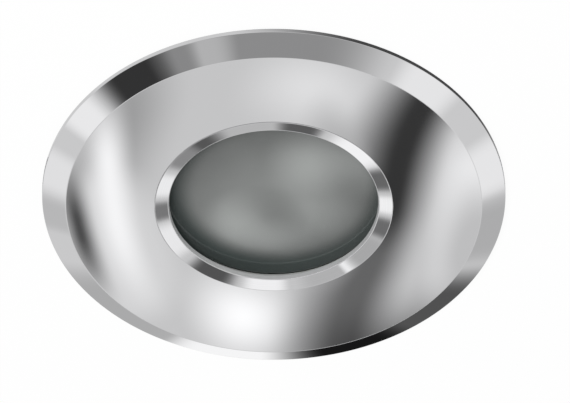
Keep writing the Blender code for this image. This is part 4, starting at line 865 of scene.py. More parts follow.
def merge(item, others):
    """One object from several that don't touch."""
    reworked(item, lambda shape: [shape.from_mesh(part.data) for part in others])
    discard(others)
    return item


def smooth(item, name):
    item.name = item.data.name = name
    item.data.shade_smooth()
    item.data.set_sharp_from_angle(angle=SHARP_ANGLE)
    return item


def dress(item, slot, *nodes, body="root", name=""):
    """Gives the piece its name, its finish, its body and the CAD nodes that it stands for."""
    smooth(item, name or nodes[0] + "_piece")
    item.data.materials.clear()
    item.data.materials.append(finish(slot))
    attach(item, body)
    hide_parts(*nodes)
    return item


# Geometry node trees


def run_tree(item, name, build, slot, **values):
    """Runs a tree with its inputs on the item and keeps the plain mesh. Build makes it when it is new."""
    values["material"] = finish(slot)
    tree = bpy.data.node_groups.get(name)
    if not tree:
        tree = bpy.data.node_groups.new(name, "GeometryNodeTree")
        kinds = {float: "Float", int: "Int", bpy.types.Object: "Object", bpy.types.Material: "Material"}
        tree.interface.new_socket("Geometry", in_out="INPUT", socket_type="NodeSocketGeometry")
        for key, value in values.items():
            kind = "NodeSocket" + kinds[type(value)]
            tree.interface.new_socket(label(key), in_out="INPUT", socket_type=kind)
        tree.interface.new_socket("Geometry", in_out="OUTPUT", socket_type="NodeSocketGeometry")
        bench = Bench(tree)
        source = bench.add("GroupInput")
        real = bench.add("RealizeInstances", {0: build(bench, source)})
        done = bench.add("SetMaterial", {"Geometry": real, "Material": source.out("Material")})
        bench.add("GroupOutput", {0: done})
    modifier = item.modifiers.new(name, "NODES")
    modifier.node_group = tree
    sockets = {entry.name: entry for entry in tree.interface.items_tree if entry.in_out == "INPUT"}
    for key, value in values.items():
        modifier[sockets[label(key)].identifier] = value
    bpy.context.view_layer.update()
    return settle(item)


def wire(points, radius, slot, sides, normals="MINIMUM_TWIST"):
    """A round or square wire through the points, with closed ends, as a plain mesh."""

    def build(bench, source):
        line = bench.add("MeshToCurve", {"Mesh": source})
        line = bench.add("SetCurveNormal", {"Curve": line}, mode=normals)
        sockets = {"Resolution": source.out("Sides"), "Radius": source.out("Radius")}
        profile = bench.add("CurvePrimitiveCircle", sockets)
        sockets = {"Curve": line, "Profile Curve": profile, "Fill Caps": True}
        body = bench.add("CurveToMesh", sockets)
        return bench.add("MergeByDistance", {"Geometry": body, "Distance": MERGE_DISTANCE})

    mesh = bpy.data.meshes.new("wire")
    mesh.from_pydata([tuple(p) for p in points], [(i, i + 1) for i in range(len(points) - 1)], [])
    item = run_tree(linked("wire", mesh), "wire_" + normals.lower(), build, slot, radius=radius, sides=sides)
    return reworked(item, lambda shape: bmesh.ops.recalc_face_normals(shape, faces=shape.faces))


def ribs(slot, *sizes):
    """Upright ribs with rounded tips in a ring round Z, whose outer ends slope down."""
    keys = ("count", "inner", "outer", "thickness", "low", "high", "slope", "round")

    def build(bench, source):
        count, inner, outer, thickness, low, high, slope, tip = (source.out(label(key)) for key in keys)
        width = outer - inner
        plan = bench.add("CurvePrimitiveQuadrilateral", {"Width": width, "Height": thickness})
        plan = bench.add("FilletCurve", {"Curve": plan, "Count": 4, "Radius": tip}, mode="POLY")
        foot = bench.add("FillCurve", {"Curve": plan}, mode="NGONS")
        sockets = {"Mesh": foot, "Offset": bench.upward(high - low), "Individual": False}
        blade = bench.add("ExtrudeMesh", sockets)
        both = bench.add("JoinGeometry", {0: [bench.add("FlipFaces", {"Mesh": foot}), blade]})
        rib = bench.add("MergeByDistance", {"Geometry": both, "Distance": MERGE_DISTANCE})
        place = bench.add("SeparateXYZ", {0: bench.add("InputPosition")})
        raised = place.sum("GREATER_THAN", place.out("Z"), 0.0)
        drop = bench.upward(slope * (place / width + 0.5) * raised * -1.0)
        rib = bench.add("SetPosition", {"Geometry": rib, "Offset": drop})
        start = bench.add("CombineXYZ", {"X": (inner + outer) / 2.0, "Z": low})
        rib = bench.add("Transform", {"Geometry": rib, "Translation": start})
        points = bench.add("Points", {"Count": count})
        spin = bench.upward((bench.add("InputIndex") + 0.5) * FULL_TURN / count)
        return bench.add("InstanceOnPoints", {"Points": points, "Instance": rib, "Rotation": spin})

    item = linked("ribs", bpy.data.meshes.new("ribs"))
    return run_tree(item, "ribs_round_axis", build, slot, **dict(zip(keys, sizes)))


# Pieces

SIDES = (("right", 1), ("left", -1))
LUG_ARC = (math.radians(-25.0), math.radians(205.0))

# How round the ring's front edge and the holder's foot are beside their other edges
FRONT_SHARE = 0.2
FOOT_SHARE = 0.4

# How high the arm's bead stands, and how round it is, beside the bends
BEAD_SHARE = 0.8
BEAD_ROUND_SHARE = 0.7


class Maker:
    """What the operators share."""

    bl_options = {"REGISTER", "UNDO"}


def helix(radius, pitch, start, first_turn, last_turn, points_per_turn=72):
    count = math.ceil((last_turn - first_turn) * points_per_turn)
    turns = [first_turn + (last_turn - first_turn) * i / count for i in range(count + 1)]
    return [(*polar(radius, FULL_TURN * t), start + pitch * t) for t in turns]


def bosses(radius):
    """Radius and place of what stands on the circle of bosses."""
    reach = settings().plate.boss_circle
    return [(radius, *polar(reach, FULL_TURN * (i + 0.5) / 4)) for i in range(4)]


class DOWNLIGHT_OT_finishes(Maker, bpy.types.Operator):
    """Give the CAD nodes that are shown as they are their finishes"""

    bl_idname = "downlight.finishes"
    bl_label = "Finishes"

    def execute(self, context):
        for entry in frame["record"]["subparts"]:
            item = frame["nodes"][entry["node"]]
            item.data.materials.clear()
            item.data.materials.append(finish(entry["material_slot"]))
        return {"FINISHED"}


class DOWNLIGHT_OT_trim_plate(Maker, bpy.types.Operator):
    """Make the chromed trim plate with its chamfer, threaded bore and collar"""

    bl_idname = "downlight.trim_plate"
    bl_label = "Trim plate"

    def execute(self, context):
        p, ring = settings().plate, settings().ring
        crisp, soft = p.edge_round, p.corner_round
        outline = [(p.rim_radius, p.rim_back, crisp), (p.rim_radius, p.rim_front, crisp / 2)]
        for i in range(DOME_STEPS + 1):
            t = i / DOME_STEPS
            height = p.face_centre + (p.face_edge - p.face_centre) * (1 - t) ** 2
            outline.append((p.face_radius + (p.counterbore - p.face_radius) * t, height, 0 if i else crisp))
        values = [p.counterbore, p.ring_seat, p.bore, p.seat_front, p.seat_radius, p.seat_back]
        values += [p.ledge_radius, p.ledge_top, p.collar_inner, p.collar_top, p.collar_radius, p.face_back]
        values += [p.rebate_inner, p.rebate_floor, p.rebate_outer, p.rim_back]
        outline += stairs(values, [0, crisp] + [soft] * 8 + [soft * 2, soft, 0, 0, 0])
        plate = turned(outline, PLATE_STEPS, crisp)
        root = (p.face_back + p.face_edge) / 2
        extras = drums(bosses(p.boss_radius), root, p.collar_top, SMALL_STEPS, soft)
        for word, side in SIDES:
            low, high = sorted((side * (p.collar_inner + p.collar_radius) / 2, side * p.pad_face))
            extras.append(block((low, -p.pad_half, root), (high, p.pad_half, p.collar_top), soft / 2))
        join(plate, *extras)
        holes = drums(bosses(p.hole_radius), p.collar_top - p.hole_depth, p.collar_top + OVERRUN)
        for word, side in SIDES:
            place = aimed(side, side * p.pad_face, settings().clips.screw_height)
            holes.append(moved(drum(p.hole_radius, -p.pad_depth, OVERRUN), place))
        start = ring.floor + ring.thread_start
        low = (p.ring_seat - OVERRUN - start) / ring.thread_pitch
        high = ring.thread_turns + GAP / ring.thread_pitch
        line = helix(ring.skirt_radius, ring.thread_pitch, start, low, high)
        reach = ring.thread_radius + GAP * math.sqrt(2)
        cut(plate, *holes, wire(line, reach, "chrome_plate", SQUARE_SIDES, "Z_UP"))
        dress(plate, "chrome_plate", "trim_plate")
        return {"FINISHED"}


class DOWNLIGHT_OT_gasket(Maker, bpy.types.Operator):
    """Make the foam gasket behind the rim"""

    bl_idname = "downlight.gasket"
    bl_label = "Ceiling gasket"

    def execute(self, context):
        w = settings().window
        gasket = hoop(w.gasket_inner, w.gasket_outer, -w.gasket_thickness, 0, 2 * TENTH)
        dress(gasket, "grey_foam", "ceiling_gasket")
        return {"FINISHED"}


class DOWNLIGHT_OT_glass_ring(Maker, bpy.types.Operator):
    """Make the retaining ring with its funnel face and threaded skirt"""

    bl_idname = "downlight.glass_ring"
    bl_label = "Retaining ring"

    def execute(self, context):
        r = settings().ring
        edge = r.edge_round
        outline = [(r.radius, r.floor, edge), (r.radius, r.front, edge * FRONT_SHARE)]
        outline += [(r.window, r.lip_front, edge / 2), (r.window - r.lip_taper, r.lip_top, edge / 2)]
        values = (r.skirt_inner, r.skirt_top, r.skirt_radius, r.floor)
        outline += [(r.skirt_inner, r.lip_top, edge)] + stairs(values, [edge] * 3)
        ring = turned(outline, RING_STEPS, edge)
        line = helix(r.skirt_radius, r.thread_pitch, r.floor + r.thread_start, 0, r.thread_turns)
        join(ring, wire(line, r.thread_radius, "turned_chrome", SQUARE_SIDES, "Z_UP"))
        dress(ring, "turned_chrome", "glass_ring", body="ring")
        return {"FINISHED"}


class DOWNLIGHT_OT_window(Maker, bpy.types.Operator):
    """Make the frosted glass and the seals on both sides of it"""

    bl_idname = "downlight.window"
    bl_label = "Window"

    def execute(self, context):
        w = settings().window
        radius, top, bottom, edge = w.glass_radius, w.glass_top, w.glass_bottom, w.glass_round
        outline = [(0, top), (radius / 2, top), (radius, top, edge)]
        outline += [(radius, bottom, edge), (radius / 2, bottom), (0, bottom)]
        dress(turned(outline, RING_STEPS, edge), "frosted_glass", "frosted_glass", body="window")
        for node, inner, low, high, slot, body in (
            ("glass_lower_seal", w.lower_inner, w.lower_bottom, w.lower_top, "pale_silicone", "window"),
            ("glass_upper_seal", w.upper_inner, w.upper_bottom, w.upper_top, "black_silicone", "root"),
        ):
            dress(hoop(inner, radius, low, high, (high - low) / 5), slot, node, body=body)
        return {"FINISHED"}


class DOWNLIGHT_OT_lamp(Maker, bpy.types.Operator):
    """Make the lamp: faceted reflector, lens, capsule, ceramic base and pins"""

    bl_idname = "downlight.lamp"
    bl_label = "Lamp"

    def bowl(self, mouth, neck, low, high, steps=28):
        """Points up a parabola from its mouth to its neck."""
        shares = [1 - i / steps for i in range(steps + 1)]
        return [(neck + (mouth - neck) * s, low + (high - low) * (1 - s * s)) for s in shares]

    def reflector(self, p):
        low, high = corners_of("lamp_reflector")
        seat = p.lens_radius + GAP
        mouth, bore = seat - p.wall, p.neck_radius - p.wall
        rim_top, bowl_top = low.z + p.rim_height, high.z - p.neck_height
        inner_top, soft = bowl_top - p.wall, 3 * TENTH
        outline = [(p.neck_radius, high.z, soft)]
        outline += self.bowl((high.x + seat) / 2, p.neck_radius, rim_top, bowl_top)[::-1]
        outline += [(high.x, rim_top, soft), (high.x, low.z, soft), (seat, low.z, soft / 2)]
        outline += [(seat, low.z + p.lens_thickness + GAP)]
        outline += self.bowl(mouth, bore, rim_top, inner_top) + [(bore, high.z, soft)]
        item = turned(outline, LAMP_STEPS)
        for corner in item.data.vertices:
            x, y, z = corner.co
            if not rim_top < z < inner_top:
                continue
            rise = math.sqrt(1 - (z - rim_top) / (inner_top - rim_top))
            radius = math.hypot(x, y)
            if abs(radius - bore - (mouth - bore) * rise) > p.wall / 4:
                continue
            across = abs(math.sin(p.facets * math.atan2(y, x) / 2))
            dent = p.facet_depth * across * abs(math.sin(HALF_TURN * p.facet_rows * rise))
            corner.co.xy *= 1 - dent / radius
        dress(item, "mirror_coat", "lamp_reflector", body="lamp")

    def capsule(self, p):
        low, high = corners_of("lamp_capsule")
        shoulder, middle = high.z - p.stem_height, low.z + p.capsule_radius
        outline = stairs((0, high.z, p.stem_radius, shoulder), (0, 3 * TENTH, 6 * TENTH))
        outline += [(p.capsule_radius, shoulder - p.stem_radius, 12 * TENTH)]
        outline += arc(p.capsule_radius, 0, -QUARTER_TURN, 10, (0, middle))[:-1] + [(0, low.z)]
        dress(turned(outline, POST_STEPS), "clear_glass", "lamp_capsule", body="lamp")

    def execute(self, context):
        p = settings().lamp
        self.reflector(p)
        low, high = corners_of("lamp_lens")
        lens = drum(p.lens_radius, low.z, high.z, LAMP_STEPS, edge=5 * TENTH)
        dress(lens, "clear_glass", "lamp_lens", body="lamp")
        low, high = corners_of("lamp_base")
        foot, radius, top = high.z - p.base_height, high.x, low.z + p.socket_depth
        outline = [(0, high.z), (radius - p.base_taper, high.z, 8 * TENTH)]
        values = (radius, foot, p.neck_radius - p.wall - GAP, low.z, p.stem_radius + GAP, top, 0)
        outline += stairs(values, [edge * TENTH for edge in (4, 1, 4, 2, 0, 0)])
        base = turned(outline, LAMP_STEPS)
        holes = []
        for word, side in SIDES:
            node = "lamp_pin_" + word
            below, tip = corners_of(node)
            centre = ((below.x + tip.x) / 2, 0)
            values = (0, tip.z, (tip.x - below.x) / 2, tip.z - p.pin_head, p.pin_neck, below.z, 0)
            pin = turned(stairs(values, (0, p.pin_round, 2 * TENTH, 0, 2 * TENTH, 0)), SMALL_STEPS)
            dress(shifted(pin, *centre, 0), "zinc_plated_steel", node, body="lamp")
            holes.append(drum(p.pin_neck + GAP, below.z - GAP, high.z + OVERRUN, BORE_STEPS, centre))
        dress(cut(base, *holes), "white_ceramic", "lamp_base", body="lamp")
        self.capsule(p)
        return {"FINISHED"}


class DOWNLIGHT_OT_holder(Maker, bpy.types.Operator):
    """Make the ceramic lampholder, its contacts and the strap that carries it"""

    bl_idname = "downlight.holder"
    bl_label = "Lampholder"

    def slot(self, circle, half, low, high, start, sweep, steps=12):
        """A slot with round ends that follows the circle of the pins."""
        end = start + sweep
        points = arc(circle + half, start, end, steps)
        points += arc(half, end, end + HALF_TURN, steps, polar(circle, end))[1:-1]
        points += arc(circle - half, end, start, steps)
        points += arc(half, start + HALF_TURN, start + FULL_TURN, steps, polar(circle, start))[1:-1]
        return slab(points, low, high)

    def strap(self, p):
        low, high = corners_of("holder_strap")
        sheet, tight = p.strap_thickness, 6 * TENTH
        wide = tight + sheet
        bends = (
            (high.x, high.z - sheet, 0, 0),
            (p.strap_middle + p.strap_crank, high.z - sheet, tight, wide),
            (p.strap_middle, low.z, wide, tight),
        )
        under = [(x, z, inner) for x, z, inner, outer in bends]
        over = [(x, z + sheet, outer) for x, z, inner, outer in bends]
        outline = under + [(-x, z, r) for x, z, r in under[::-1]]
        outline += [(-x, z, r) for x, z, r in over] + over[::-1]
        strap = upright(slab(outline, low.y, high.y, TENTH))
        ends = (low.z - OVERRUN, high.z + OVERRUN)
        carve(strap, "INTERSECT", [slab(rectangle(high.x, high.y, p.strap_corner), *ends)])
        places = (p.screw_place, settings().box.screw_place)
        cut(strap, *drums([(p.hole_radius, side * x, 0) for x in places for side in (1, -1)], *ends))
        dress(strap, "zinc_plated_steel", "holder_strap")

    def execute(self, context):
        p = settings().holder
        low, high = corners_of("lampholder")
        edges = (0, p.edge_round, p.edge_round * FOOT_SHARE, 0)
        holder = turned(stairs((0, high.z, high.x, low.z, 0), edges), LAMP_STEPS)
        ledge, mouth = low.z + p.ledge, low.z - OVERRUN
        cutters = []
        for word, side in SIDES:
            start = (0 if side == 1 else HALF_TURN) - p.twist
            cutters.append(self.slot(p.pin_circle, p.neck_slot, mouth, ledge + GAP, start, p.twist))
            cutters.append(self.slot(p.pin_circle, p.head_slot, ledge, low.z + p.cavity, start, p.twist))
            entry = polar(p.pin_circle, start)
            cutters.append(drum(p.head_slot, mouth, ledge + GAP, POST_STEPS, entry))
            screw = (side * p.screw_place, 0)
            cutters.append(drum(p.hole_radius, high.z - p.hole_depth, high.z + OVERRUN, centre=screw))
        dress(cut(holder, *cutters), "white_ceramic", "lampholder")
        for word, side in SIDES:
            node = "holder_contact_" + word
            dress(block(*corners_of(node), 1.8 * TENTH), "brass", node)
        self.strap(p)
        return {"FINISHED"}


def floor_spots(radius):
    """Radius and place of the holes that the can's top and the box's floor share."""
    box = settings().box
    spots = [(radius, box.screw_place, 0), (radius, -box.screw_place, 0)]
    return spots + [(box.grommet_hole, 0, box.grommet_place), (radius, box.earth_x, box.earth_y)]


class DOWNLIGHT_OT_can(Maker, bpy.types.Operator):
    """Make the ribbed casting behind the plate, and the seal under its flange"""

    bl_idname = "downlight.can"
    bl_label = "Can"

    def execute(self, context):
        p, box = settings().can, settings().box
        low, high = corners_of("rear_housing")
        soft, tight = p.fillet, p.fillet / 2
        outline = [(0, high.z), (p.top_radius, high.z, soft * 2), (p.radius, p.shoulder, soft * 2)]
        values = (p.radius, p.flange_top, p.flange_radius, p.flange_bottom, p.spigot, low.z, p.bore)
        outline += stairs((*values, p.shoulder), (soft, tight, tight, 0, tight, tight, soft))
        outline += [(p.top_radius - p.radius + p.bore, p.ceiling, soft), (0, p.ceiling)]
        can = turned(outline, CAN_STEPS)
        ears = drums(bosses(p.ear_radius), p.flange_bottom, p.flange_top, SMALL_STEPS, tight)
        inner, heights = (p.radius + p.bore) / 2, (p.rib_low, p.rib_high)
        shape = (p.rib_thickness, *heights, p.rib_slope, p.rib_round)
        fins = ribs("cast_aluminium", p.ribs, inner, p.rib_radius, *shape)
        join(can, *ears, fins)
        holes = drums(bosses(box.hole_radius), p.flange_bottom - OVERRUN, p.flange_top + OVERRUN)
        spots = floor_spots(box.hole_radius)
        holes += drums(spots, p.ceiling - OVERRUN, high.z + OVERRUN, CAN_HOLE_STEPS)
        dress(cut(can, *holes), "cast_aluminium", "rear_housing")
        low, high = corners_of("housing_seal")
        seal = hoop(p.seal_bore, (high.x - low.x) / 2, low.z, high.z, 2.5 * TENTH)
        dress(seal, "black_silicone", "housing_seal")
        return {"FINISHED"}


def threaded(outline, radius, depth, pitch, high, low):
    """Adds thread ridges to an outline that runs down from high to low."""
    for i in range(int((high - low) / pitch)):
        outline += [(radius, high - pitch * i), (radius - depth, high - pitch * (i + 0.5))]


def screws_at(places, head, length, slot, name="screws"):
    """Slotted screws whose heads stand on the places. One without a head is a grub screw."""
    s = settings().screws
    if head:
        radius, top = s.shank_radius, s.head_height
        outline = stairs((0, top, head, 0, radius), (0, s.head_round, TENTH, 0))
    else:
        radius, top = s.pole_radius, 0
        outline = [(0, 0), (radius, 0, 1.5 * TENTH)]
    threaded(outline, radius, s.thread_depth, s.pitch, -s.pitch, s.pitch - length)
    outline += [(radius - s.thread_depth, -length, TENTH), (0, -length)]
    reach, half = max(head, s.pole_radius) + OVERRUN, s.slot_width / 2
    slit = block((-reach, -half, top - s.slot_depth), (reach, half, top + OVERRUN))
    master = cut(turned(outline, SCREW_STEPS), slit)

    def build(bench, source):
        info = bench.add("ObjectInfo", {"Object": source.out("Screw")})
        sockets = {"Max": source.out("Slot turn"), "Seed": source.out("Seed")}
        spin = bench.upward(bench.add("RandomValue", sockets, 1, data_type="FLOAT"))
        sockets = {"Points": source, "Instance": info.out("Geometry"), "Rotation": spin}
        return bench.add("InstanceOnPoints", sockets)

    mesh = bpy.data.meshes.new(name)
    mesh.from_pydata([tuple(place) for place in places], [], [])
    inputs = {"screw": master, "slot_turn": s.slot_turn, "seed": s.seed}
    item = run_tree(linked(name, mesh), "screws_on_points", build, slot, **inputs)
    discard([master])
    return item


class DOWNLIGHT_OT_screws(Maker, bpy.types.Operator):
    """Make all the slotted screws, each where its CAD node is"""

    bl_idname = "downlight.screws"
    bl_label = "Screws"

    def on_nodes(self, nodes, length, slot="zinc_plated_steel"):
        """Each head stands over its node's lowest point by the screw's length."""
        places = []
        for node in nodes:
            low, high = corners_of(node)
            places.append(((low.x + high.x) / 2, (low.y + high.y) / 2, low.z + length))
        return screws_at(places, settings().screws.head_radius, length, slot)

    def execute(self, context):
        s, clips = settings().screws, settings().clips
        made, replaced = [], []
        for stem, words, length in (
            ("housing_screw_", "1234", s.housing_length),
            ("lid_screw_", ("left", "right"), s.lid_length),
            ("box_screw_", ("left", "right"), s.box_length),
            ("holder_screw_", ("left", "right"), s.holder_length),
        ):
            nodes = [stem + word for word in words]
            made.append(self.on_nodes(nodes, length))
            replaced += nodes
        for word, side in SIDES:
            screw = screws_at([(0, 0, 0)], s.clip_head_radius, s.clip_length, "zinc_plated_steel")
            out = clips.bracket_back + clips.bracket_sheet + GAP
            made.append(moved(screw, aimed(side, side * out, clips.screw_height)))
            replaced.append("clip_screw_" + word)
        screws = merge(made[0], made[1:])
        dress(screws, "zinc_plated_steel", *replaced, name="slotted_screws")
        dress(self.on_nodes(["earth_screw"], s.earth_length, "brass"), "brass", "earth_screw")
        return {"FINISHED"}


class DOWNLIGHT_OT_terminal_box(Maker, bpy.types.Operator):
    """Make the moulded terminal box and its lid"""

    bl_idname = "downlight.terminal_box"
    bl_label = "Terminal box"

    def execute(self, context):
        p = settings().box
        low, high = corners_of("terminal_box")
        half_x, half_y = high.x, high.y
        floor, inner = low.z + p.wall, max(p.corner - p.wall, GAP)
        box = slab(rectangle(half_x, half_y, p.corner), low.z, high.z, p.edge_round / 2)
        cut(box, slab(rectangle(half_x - p.wall, half_y - p.wall, inner), floor, high.z + OVERRUN))

        def pillars(radius):
            return [(radius, -p.pillar_x, p.pillar_y), (radius, p.pillar_x, -p.pillar_y)]

        join(box, *drums(pillars(p.pillar_radius), floor - p.wall / 2, high.z - GAP, POST_STEPS))
        holes = drums(pillars(p.hole_radius), high.z - p.pillar_depth, high.z + OVERRUN)
        holes += drums(floor_spots(p.hole_radius), low.z - OVERRUN, floor + OVERRUN, BORE_STEPS)
        mouth = drum(p.gland_hole, -p.wall - OVERRUN, OVERRUN, MOUTH_STEPS)
        holes.append(moved(mouth, aimed(-1, low.x, p.gland_height)))
        knock_out = hoop(p.gland_hole - p.groove, p.gland_hole, -p.groove / 2, p.groove, 0, MOUTH_STEPS)
        holes.append(moved(knock_out, aimed(1, high.x, p.gland_height)))
        dress(cut(box, *holes), "black_nylon", "terminal_box")
        low, high = corners_of("terminal_lid")
        seat = low.z + p.plug_height
        lid = slab(rectangle(half_x, half_y, p.corner), seat, high.z, p.edge_round)
        room = rectangle(half_x - p.wall - GAP, half_y - p.wall - GAP, inner)
        join(lid, slab(room, low.z, (seat + high.z) / 2))
        holes = drums(pillars(p.pillar_radius + GAP), low.z - OVERRUN, seat, POST_STEPS)
        holes += drums(pillars(p.hole_radius), seat - OVERRUN, high.z + OVERRUN)
        depth = high.z - p.groove / 2
        x, y = half_x - p.panel_border, half_y - p.panel_border
        groove = slab(rectangle(x, y, p.corner), depth, high.z + OVERRUN)
        core = rectangle(x - p.groove, y - p.groove, p.corner - p.groove)
        cut(groove, slab(core, depth - OVERRUN, high.z + 2 * OVERRUN))
        dress(cut(lid, *holes, groove), "black_nylon", "terminal_lid")
        return {"FINISHED"}


def smooth_route(corners, steps=9):
    """Points along a smooth curve through the route's own points."""
    points = []
    last = len(corners) - 1
    for i in range(last):
        before, start = Vector(corners[max(i - 1, 0)]), Vector(corners[i])
        end, after = Vector(corners[i + 1]), Vector(corners[min(i + 2, last)])
        for step in range(steps):
            t = step / steps
            pull = 2 * before - 5 * start + 4 * end - after
            bend = -before + 3 * start - 3 * end + after
            points.append((2 * start + (end - before) * t + pull * t * t + bend * t**3) / 2)
    return points + [Vector(corners[last])]


class DOWNLIGHT_OT_terminals(Maker, bpy.types.Operator):
    """Make the terminal block with its screws, the grommet and the leads"""

    bl_idname = "downlight.terminals"
    bl_label = "Terminals and leads"

    def block(self, p, poles):
        low, high = corners_of("terminal_block")
        middle, depth = (low.y + high.y) / 2, high.y - low.y
        body = block(low, high, 8 * TENTH)
        wells = [(p.well_radius, x, middle) for x in poles.values()]
        cutters = drums(wells, high.z - p.well_depth, high.z + OVERRUN, BORE_STEPS)
        for x in poles.values():
            way = upright(drum(p.way_radius, -depth, depth, BORE_STEPS))
            cutters.append(shifted(way, x, middle, low.z + p.way_height))
        for x in (-p.pole_spacing / 2, p.pole_spacing / 2):
            edges = (x - p.groove / 2, low.y - OVERRUN, high.z - 2 * p.groove)
            cutters.append(block(edges, (x + p.groove / 2, high.y + OVERRUN, high.z + OVERRUN)))
        dress(cut(body, *cutters), "natural_nylon", "terminal_block")
        nodes = ["terminal_screw_" + word for word in poles]
        top = corners_of(nodes[0])[1].z
        places = [(x, middle, top) for x in poles.values()]
        screws = screws_at(places, 0.0, settings().screws.pole_length, "brass")
        dress(screws, "brass", *nodes, name="terminal_screws")

    def lead(self, route, word, slot):
        item = wire(smooth_route(route), settings().box.lead_radius, slot, LEAD_SIDES)
        dress(item, slot, "lead_" + word)

    def execute(self, context):
        p = settings().box
        poles = {"live": -p.pole_spacing, "neutral": 0.0, "earth": p.pole_spacing}
        self.block(p, poles)
        low, high = corners_of("lead_grommet")
        flange, under = (high.x - low.x) / 2, high.z - p.grommet_flange
        values = (flange, under, p.grommet_neck, low.z, p.grommet_bore, high.z, flange)
        grommet = turned(stairs(values, [edge * TENTH for edge in (2, 2, 3, 3, 3, 4)]), SMALL_STEPS)
        dress(shifted(grommet, 0, p.grommet_place, 0), "black_silicone", "lead_grommet")
        bend, radius, y = p.lead_bend, p.lead_radius, p.grommet_place
        low, far = corners_of("terminal_block")
        way, inside, clear = low.z + p.way_height, low.y + (far.y - low.y) / 4, high.z + bend
        start, floor = corners_of("lead_live")[0].z, corners_of("terminal_box")[0].z + p.wall
        for side, word, slot in ((-1, "live", "brown_lead"), (1, "neutral", "blue_lead")):
            x, foot, pole = side * p.lead_apart, side * p.lead_foot, poles[word]
            route = [
                (foot, y, start),
                (foot, y, start + 2 * radius),
                (x, y, settings().can.ceiling),
                (x, y, floor),
                (x + (pole - x) / 4, y + bend / 2, clear),
                (pole, low.y - bend, way + bend / 4),
                (pole, low.y, way),
                (pole, inside, way),
            ]
            self.lead(route, word, slot)
        x, pole = p.earth_x, p.pole_spacing
        y = p.earth_y + settings().screws.head_radius + GAP
        level = floor + GAP + radius
        route = [
            (x, y, level),
            (x, y + radius, level + radius / 4),
            (x, y + bend, clear - bend / 2),
            (pole, low.y - bend / 2, way + radius / 2),
            (pole, low.y, way),
            (pole, inside, way),
        ]
        self.lead(route, "earth", "green_lead")
        return {"FINISHED"}


class DOWNLIGHT_OT_gland(Maker, bpy.types.Operator):
    """Make the cable gland's threaded body, its seal and its grooved nut"""

    bl_idname = "downlight.gland"
    bl_label = "Cable gland"

    def execute(self, context):
        p, box = settings().gland, settings().box
        out = aimed(-1, corners_of("terminal_box")[0].x, box.gland_height)
        soft, pitch, depth, neck = 3 * TENTH, p.thread_pitch, p.thread_depth, p.neck_radius
        outline = [(neck - depth, p.neck_end, soft)]
        threaded(outline, neck, depth, pitch, p.neck_end - pitch / 2, p.hex_end)
        outline += [(neck, p.hex_end), (neck, -box.wall)]
        threaded(outline, neck, depth, pitch / 2, -box.wall - soft, p.inner_end + soft)
        pocket = p.seal_radius + GAP
        values = (neck - depth, p.inner_end, p.bore, p.pocket, pocket, p.neck_end)
        body = turned(outline + stairs(values, (soft / 2, soft, 0, 0, 0)), LAMP_STEPS)
        corners = [(*polar(p.hex_radius, QUARTER_TURN + FULL_TURN * i / 6), soft) for i in range(6)]
        nut = slab(corners, p.hex_start, p.hex_end, soft)
        cut(nut, drum(p.bore + GAP, p.hex_start - OVERRUN, p.hex_end + OVERRUN, SMALL_STEPS))
        dress(moved(join(body, nut), out), "grey_nylon", "gland_body")
        seal = hoop(p.seal_bore, p.seal_radius, p.pocket + GAP, p.neck_end - GAP, soft / 2, SMALL_STEPS)
        dress(moved(seal, out), "black_silicone", "gland_seal")
        inner = p.nut_end - p.nut_wall
        values = (p.nut_radius, p.nut_start, neck + GAP, inner, p.bore, p.nut_end, p.nut_radius)
        cap = turned(stairs(values, (soft, soft / 2, 0, soft / 2, soft * 2, p.nut_round)), LAMP_STEPS)
        reach = (p.nut_radius - p.grip_depth, p.nut_radius + OVERRUN)
        heights = (p.nut_start + 2 * soft, p.nut_end - p.nut_round - soft)
        grips = ribs("grey_nylon", p.grips, *reach, p.grip_width, *heights, 0.0, p.grip_width / 3)
        dress(moved(cut(cap, grips), out), "grey_nylon", "gland_nut")
        return {"FINISHED"}


